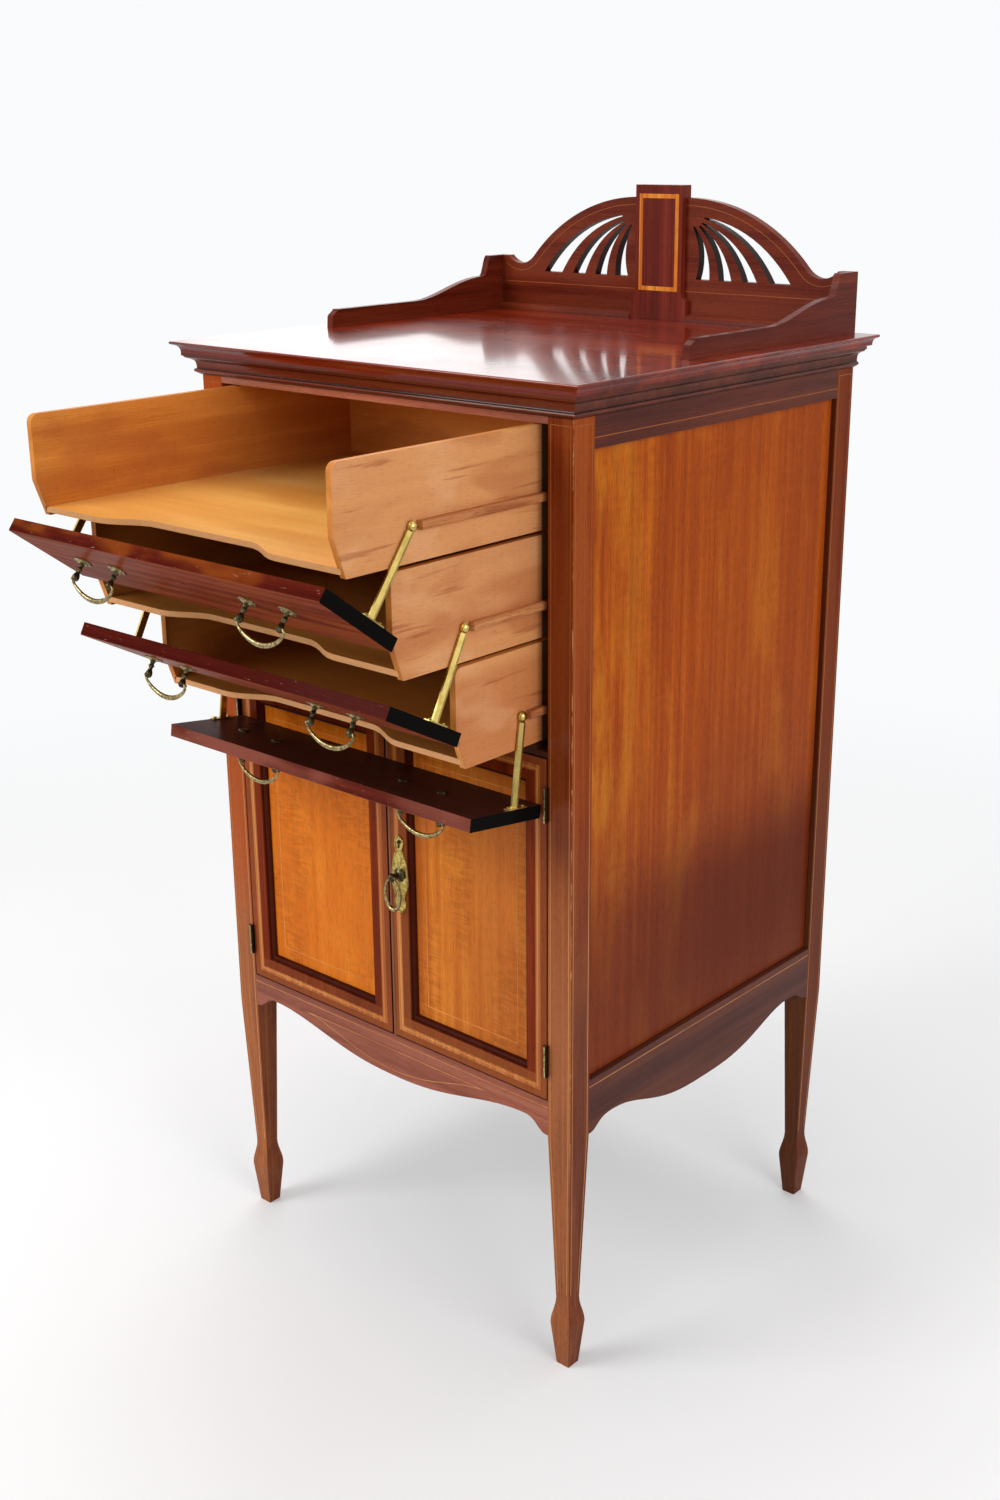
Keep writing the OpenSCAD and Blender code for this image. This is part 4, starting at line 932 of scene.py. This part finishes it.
# Escutcheon and ring
def escutcheon(brass, dark):
    """A pierced plate with a beaded edge, a fluted stud and a keyhole boss."""
    stud = pivot("ring_swing")
    centre = Vector((stud.x, FRONT_Y, stud.z))
    # Half of the outline: across and up from the stud, in millimetres
    outline = (
        (0, 47.4), (1.4, 45.8), (4.2, 44.2), (6.2, 41.4), (6.7, 38.5), (6.0, 35), (4.4, 32),
        (4.0, 29.6), (5.6, 26.4), (8.5, 21), (10.6, 13), (11.6, 5), (12.8, -5), (12.4, -11),
        (10.7, -16), (8.4, -21), (7.0, -25), (6.8, -28), (8.2, -31), (8.8, -34), (8.0, -38),
        (5.4, -42), (2.6, -45), (0, -46))
    rim = list(outline) + [(-x, z) for x, z in reversed(outline[1:-1])]
    escutcheon_plate(centre, rim, brass)
    escutcheon_beads(centre, rim, brass)
    escutcheon_knob(centre, dark)


def escutcheon_plate(centre, rim, brass):
    """Rows of points that rise from the rim to the raised middle."""
    # Each step: how wide and how high the rim is drawn in, and how far it stands out
    steps = (
        (1.0, 1.0, 0.0), (1.0, 1.0, 1.0), (0.9, 1.0, 1.5), (0.78, 0.89, 1.0),
        (0.6, 0.8, 1.3), (0.3, 0.3, 1.9), (0.02, 0.02, 2.1))
    shell = Shell()
    shell.rows([
        [centre + Vector((x * wide, -out, z * tall)) * MM for x, z in rim]
        for wide, tall, out in steps])
    shell.piece("escutcheon_plate", brass, "door_right", "escutcheon_brass", ("ring_plate",))


def escutcheon_beads(centre, rim, brass):
    """A string of beads just inside the rim."""
    wide, tall, out = 0.93, 0.97, 1.5
    bead_gap, bead_r = 2.3 * MM, 0.95 * MM
    points = [centre + Vector((x * wide, -out, z * tall)) * MM for x, z in rim]
    shell = Shell()
    for a, b in zip(points, points[1:] + points[:1]):
        gaps = max(1, round((b - a).length / bead_gap))
        for k in range(gaps):
            ball(shell, a.lerp(b, k / gaps), bead_r)
    shell.piece("escutcheon_beads", brass, "door_right", "escutcheon_brass")


def escutcheon_knob(centre, dark):
    """The stud that carries the ring, and the keyhole over it."""
    turned = (
        (7.6, 1.6), (8.0, 2.4), (6.6, 3.2), (4.2, 3.8), (3.0, 5.2), (2.8, 7.4), (3.2, 9.0), (4.4, 10.6),
        (4.8, 12.6), (4.6, 14.6), (3.6, 16.0), (1.6, 16.8), (0, 17.0))
    hole = ((2.3, 0), (2.3, 0.25), (0, 0.25))
    hole_place = centre + Vector((0, -1.95, 38.5)) * MM
    slot = ((-0.9, 32), (0.9, 32), (0.6, 38), (-0.6, 38))
    shell = Shell()
    shell.lathe(mm(turned), centre, -Y, turns=36, lobes=9, lobe_depth=0.06)
    shell.lathe(mm(hole), hole_place, -Y, turns=20)
    shell.rows([[centre + Vector((x, -out, z)) * MM for x, z in slot] for out in (1.9, 2.25)])
    shell.piece("escutcheon_knob", dark, "door_right", "escutcheon_brass")


def ball(shell, centre, radius):
    steps = 6
    angles = [math.pi * k / steps for k in range(steps + 1)]
    profile = [(radius * math.sin(angle), -radius * math.cos(angle)) for angle in angles]
    shell.lathe(profile, centre, -Y, turns=8)


def ring(material):
    """A drop ring, thicker at its foot, that hangs from the stud."""
    stud = pivot("ring_swing")
    half_w, half_h, play, count = 11.2 * MM, 18.2 * MM, 1.2 * MM, 48
    rod_mm, taper_mm = 1.9, 0.5
    path, radii = [], []
    for k in range(count):
        angle = 2 * math.pi * k / count
        drop = half_h * (math.cos(angle) - 1) - play
        path.append(stud + Vector((half_w * math.sin(angle), 0, drop)))
        foot = bead(angle, place=math.pi, width=0.25, height=0.45)
        radii.append((rod_mm - taper_mm * math.cos(angle) + foot) * MM)
    shell = Shell()
    shell.sweep(path, radii, Y, sides=12, closed=True)
    collar = ((1.2, -5.45), (2.6, -3.5), (3.0, -2.8), (3.0, 2.8), (2.6, 3.5), (1.2, 5.45))
    shell.lathe(mm(collar), stud, X, turns=20)
    shell.piece("ring_rod", material, "ring", "escutcheon_brass", ("ring_pull",))


# Arms of the falling fronts
ARM_X = 220.3 * MM


def arm_details(index, material):
    """Round pin heads outside and screw heads on the feet."""
    shell = Shell()
    head = ((4.6, 0), (4.6, 0.7), (4.0, 1.8), (2.6, 2.8), (1.0, 3.2), (0, 3.25))
    screw = ((2.7, 0), (2.6, 0.4), (1.6, 0.9), (0, 1.0))
    head_x, screw_x = ARM_X + 2.2 * MM, ARM_X + 3.2 * MM
    foot_y, screw_up = -ARM + 2.4 * MM, 10 * MM
    for side in SIDES:
        shell.lathe(mm(head), Vector((side * head_x, 0, 0)), side * X, turns=24)
        for z in (-screw_up, screw_up):
            shell.lathe(mm(screw), Vector((side * screw_x, foot_y, z)), Y, turns=16)
    shell.moved(front_frame(index))
    shell.piece(f"arm_heads_{index}", material, f"fall_{index}", "arm_brass")


# Stage
ROOM_WHITE = srgb(250, 251, 252)
FLOOR_LIFT = 0.17
WORLD_LIGHT = 0.45
# How far from the cabinet the floor starts to turn white, and where it is white
FLOOR_FADE = (0.7, 2.6)


def floor():
    """A pale paper floor, a little brighter to the camera, that runs into the white room."""
    finish = Finish("studio_floor")
    cloud = finish.noise(finish.mapped((0.9, 0.9, 0.9)), detail=2.0)
    shade = finish.ramp(cloud, ((0.3, srgb(236, 236, 237)), (0.7, srgb(241, 241, 241))))
    finish.set(Base_Color=shade, Roughness=0.7, Specular_IOR_Level=0.2)
    middle = {0: finish.coords.outputs["Object"]}
    away = finish.node("VectorMath", middle, operation="LENGTH").outputs["Value"]
    far = finish.fade(away, *FLOOR_FADE)
    seen = finish.node("LightPath", {}).outputs["Is Camera Ray"]
    glow = finish.output("Emission", {"Color": ROOM_WHITE, "Strength": 1.0})
    lift = finish.output("Emission", {"Color": ROOM_WHITE, "Strength": FLOOR_LIFT})
    paper = finish.shader.outputs[0]
    lifted = finish.output("AddShader", {0: paper, 1: lift})
    near = finish.output("MixShader", {0: seen, 1: paper, 2: lifted})
    white = finish.times(far, seen)
    blend = finish.output("MixShader", {0: white, 1: near, 2: glow})
    finish.feed(finish.tree.nodes["Material Output"].inputs["Surface"], blend)
    radius, sides = 9.0, 96
    turns = [2 * math.pi * k / sides for k in range(sides)]
    rim = [(radius * math.cos(turn), radius * math.sin(turn), 0) for turn in turns]
    mesh = bpy.data.meshes.new("studio_floor")
    mesh.from_pydata(rim, [], [list(range(sides))])
    mesh.materials.append(finish.material)
    thing = bpy.data.objects.new("studio_floor", mesh)
    show(thing)


def world():
    """Even light from all round; the camera and the polish see a white room."""
    room = bpy.data.worlds.new("studio")
    bpy.context.scene.world = room
    room.use_nodes = True
    room.node_tree.nodes.clear()
    sky = Nodes(room.node_tree)
    path = sky.node("LightPath", {})
    seen = sky.math("MAXIMUM", path.outputs["Is Camera Ray"], path.outputs["Is Glossy Ray"])
    even = {"Color": (1.0, 1.0, 1.0, 1.0), "Strength": WORLD_LIGHT}
    light = sky.output("Background", even)
    white = sky.output("Background", {"Color": ROOM_WHITE, "Strength": 1.0})
    both = sky.output("MixShader", {0: seen, 1: light, 2: white})
    sky.node("OutputWorld", {0: both})


def area_light(name, place, target, size, power):
    data = bpy.data.lights.new(name, "AREA")
    data.shape = "DISK"
    data.size = size
    data.energy = power
    lamp = bpy.data.objects.new(name, data)
    lamp.location = place
    lamp.visible_camera = False
    lamp.rotation_euler = (Vector(target) - Vector(place)).to_track_quat("-Z", "Y").to_euler()
    show(lamp)


def lights():
    """Three soft lamps round the cabinet, and a window whose light lies on the top."""
    middle = (0, 0, 0.75)
    area_light("key", (-1.5, -2.6, 2.3), middle, size=1.8, power=52)
    area_light("fill", (2.8, -0.6, 1.9), middle, size=2.0, power=31)
    area_light("overhead", (-0.4, 0.5, 3.2), middle, size=2.0, power=24)
    area_light("window", (-1.6, 1.65, 1.85), (-0.2, 0.1, TOP_Z), size=1.6, power=5.5)


def camera():
    """The photograph's view, fitted to the cabinet's straight edges."""
    # In radians; the place is in millimetres from the middle of the case's front
    azimuth, elevation, roll = 0.7299, 0.3325, -0.0091
    place = Vector((1321.1, -1286.1, 1307.6)) * MM + Vector((0, FRONT_Y, 0))
    level = math.cos(elevation)
    back = Vector((math.sin(azimuth) * level, -math.cos(azimuth) * level, math.sin(elevation)))
    flat = (-back).cross(Z).normalized()
    over = flat.cross(-back)
    right = math.cos(roll) * flat + math.sin(roll) * over
    up = -math.sin(roll) * flat + math.cos(roll) * over
    data = bpy.data.cameras.new("photo_camera")
    data.lens = 43.2
    data.sensor_width = 36.0
    view = bpy.data.objects.new("photo_camera", data)
    turn = Matrix((right, up, back)).transposed().to_4x4()
    view.matrix_world = Matrix.Translation(place) @ turn
    show(view)
    bpy.context.scene.camera = view


def dress_cabinet():
    rail_tones = ((70, 26, 16), (98, 42, 26), (122, 60, 36))
    side_apron_tones = ((58, 22, 14), (82, 36, 24), (102, 50, 32))
    apron_tones = ((136, 70, 50), (168, 96, 72), (190, 120, 92))
    pilaster_tones = ((92, 26, 14), (120, 40, 26), (142, 56, 36))
    bead_tones = ((110, 54, 30), (140, 78, 46), (160, 98, 62))
    satin_tones = ((196, 98, 20), (228, 132, 32), (246, 160, 60))
    band_tones = ((162, 84, 34), (182, 104, 46), (200, 126, 64))
    dress(("post_front_left", "post_front_right", "post_rear_left", "post_rear_right"), post_wood())
    dress(("top_board",), top_wood())
    dress(("cornice",), cornice_wood())
    dress(("side_rails",), dark_wood("rail_mahogany", rail_tones, BACK, seed=17.0))
    dress(("side_aprons",), dark_wood("side_apron_mahogany", side_apron_tones, BACK, seed=19.0))
    dress(("front_rail", "front_apron"), dark_wood("apron_mahogany", apron_tones, ACROSS, seed=29.0))
    dress(("side_panels",), side_panel_wood())
    dress(("gallery_back",), gallery_back_wood())
    dress(("gallery_moulding",), gallery_wood("gallery_mahogany", ACROSS, seed=37.0))
    dress(("gallery_sides",), gallery_wood("gallery_side_mahogany", BACK, seed=39.0))
    dress(("gallery_pilaster",), gallery_wood("pilaster_mahogany", UP, 43.0, pilaster_tones))
    carcass = ("rear_rails", "back_panel", "divider_board", "cupboard_shelves", "guide_rails")
    dress(carcass, carcass_wood())
    dress(("pilaster_banding",), satinwood("satinwood_band", satin_tones))
    dress(("door_left_banding", "door_right_banding"), satinwood("walnut_band", band_tones, flame=0.0))
    dress(("door_left_frame",), door_frame_wood("left", 0.3, light_stile=False))
    dress(("door_right_frame",), door_frame_wood("right", 0.7, light_stile=True))
    dress(("door_left_panel", "door_right_panel"), door_panel_wood())
    dress(("meeting_bead",), dark_wood("bead_mahogany", bead_tones, UP, seed=53.0))


def dress_drawers(arm_brass):
    sides = drawer_wood("drawer_side_wood", BACK, seed=57.0)
    backs = drawer_wood("drawer_back_wood", ACROSS, seed=59.0)
    bottoms, runners = bottom_wood(), runner_wood()
    for index in (1, 2, 3):
        dress((f"drawer_{index}_sides",), sides)
        dress((f"drawer_{index}_back",), backs)
        dress((f"drawer_{index}_bottom",), bottoms)
        dress((f"drawer_{index}_runners",), runners)
        dress((f"front_{index}",), front_wood(index, lean_of(index)))
        dress((f"front_{index}_arms",), arm_brass)


def build():
    dress_cabinet()
    arm_brass = metal(
        "arm_brass", (214, 188, 112), (172, 148, 78), 0.28, seed=1.0, wear_mm=20, dents=0.08)
    handle_brass = metal(
        "handle_brass", (186, 168, 118), (100, 86, 52), 0.32, seed=4.0, wear_mm=3, dents=0.3)
    plate_brass = metal(
        "escutcheon_brass", (216, 192, 112), (150, 128, 62), 0.3, seed=9.0, wear_mm=2.5, dents=0.4)
    dark_brass = metal(
        "stud_brass", (104, 94, 64), (40, 36, 26), 0.4, seed=12.0, wear_mm=4, dents=0.4)
    dress_drawers(arm_brass)
    dress(("case_hinge_leaves", "door_left_hinge_leaves", "door_right_hinge_leaves"), hinge_metal())
    case_tones = ((190, 118, 60), (208, 138, 78), (222, 156, 96))
    case_lines(boxwood("case_line_wood", case_tones, aged=0.75))
    door_tones = ((204, 120, 46), (220, 140, 62), (232, 158, 82))
    door_lines(boxwood("door_line_wood", door_tones))
    for index in (1, 2, 3):
        handle_fittings(index, handle_brass, dark_brass)
        arm_details(index, arm_brass)
        for side in HANDLE_XS:
            bail(index, side, handle_brass)
    escutcheon(plate_brass, dark_brass)
    ring(handle_brass)


build()
floor()
world()
lights()
camera()
bpy.context.scene.view_settings.view_transform = "Standard"
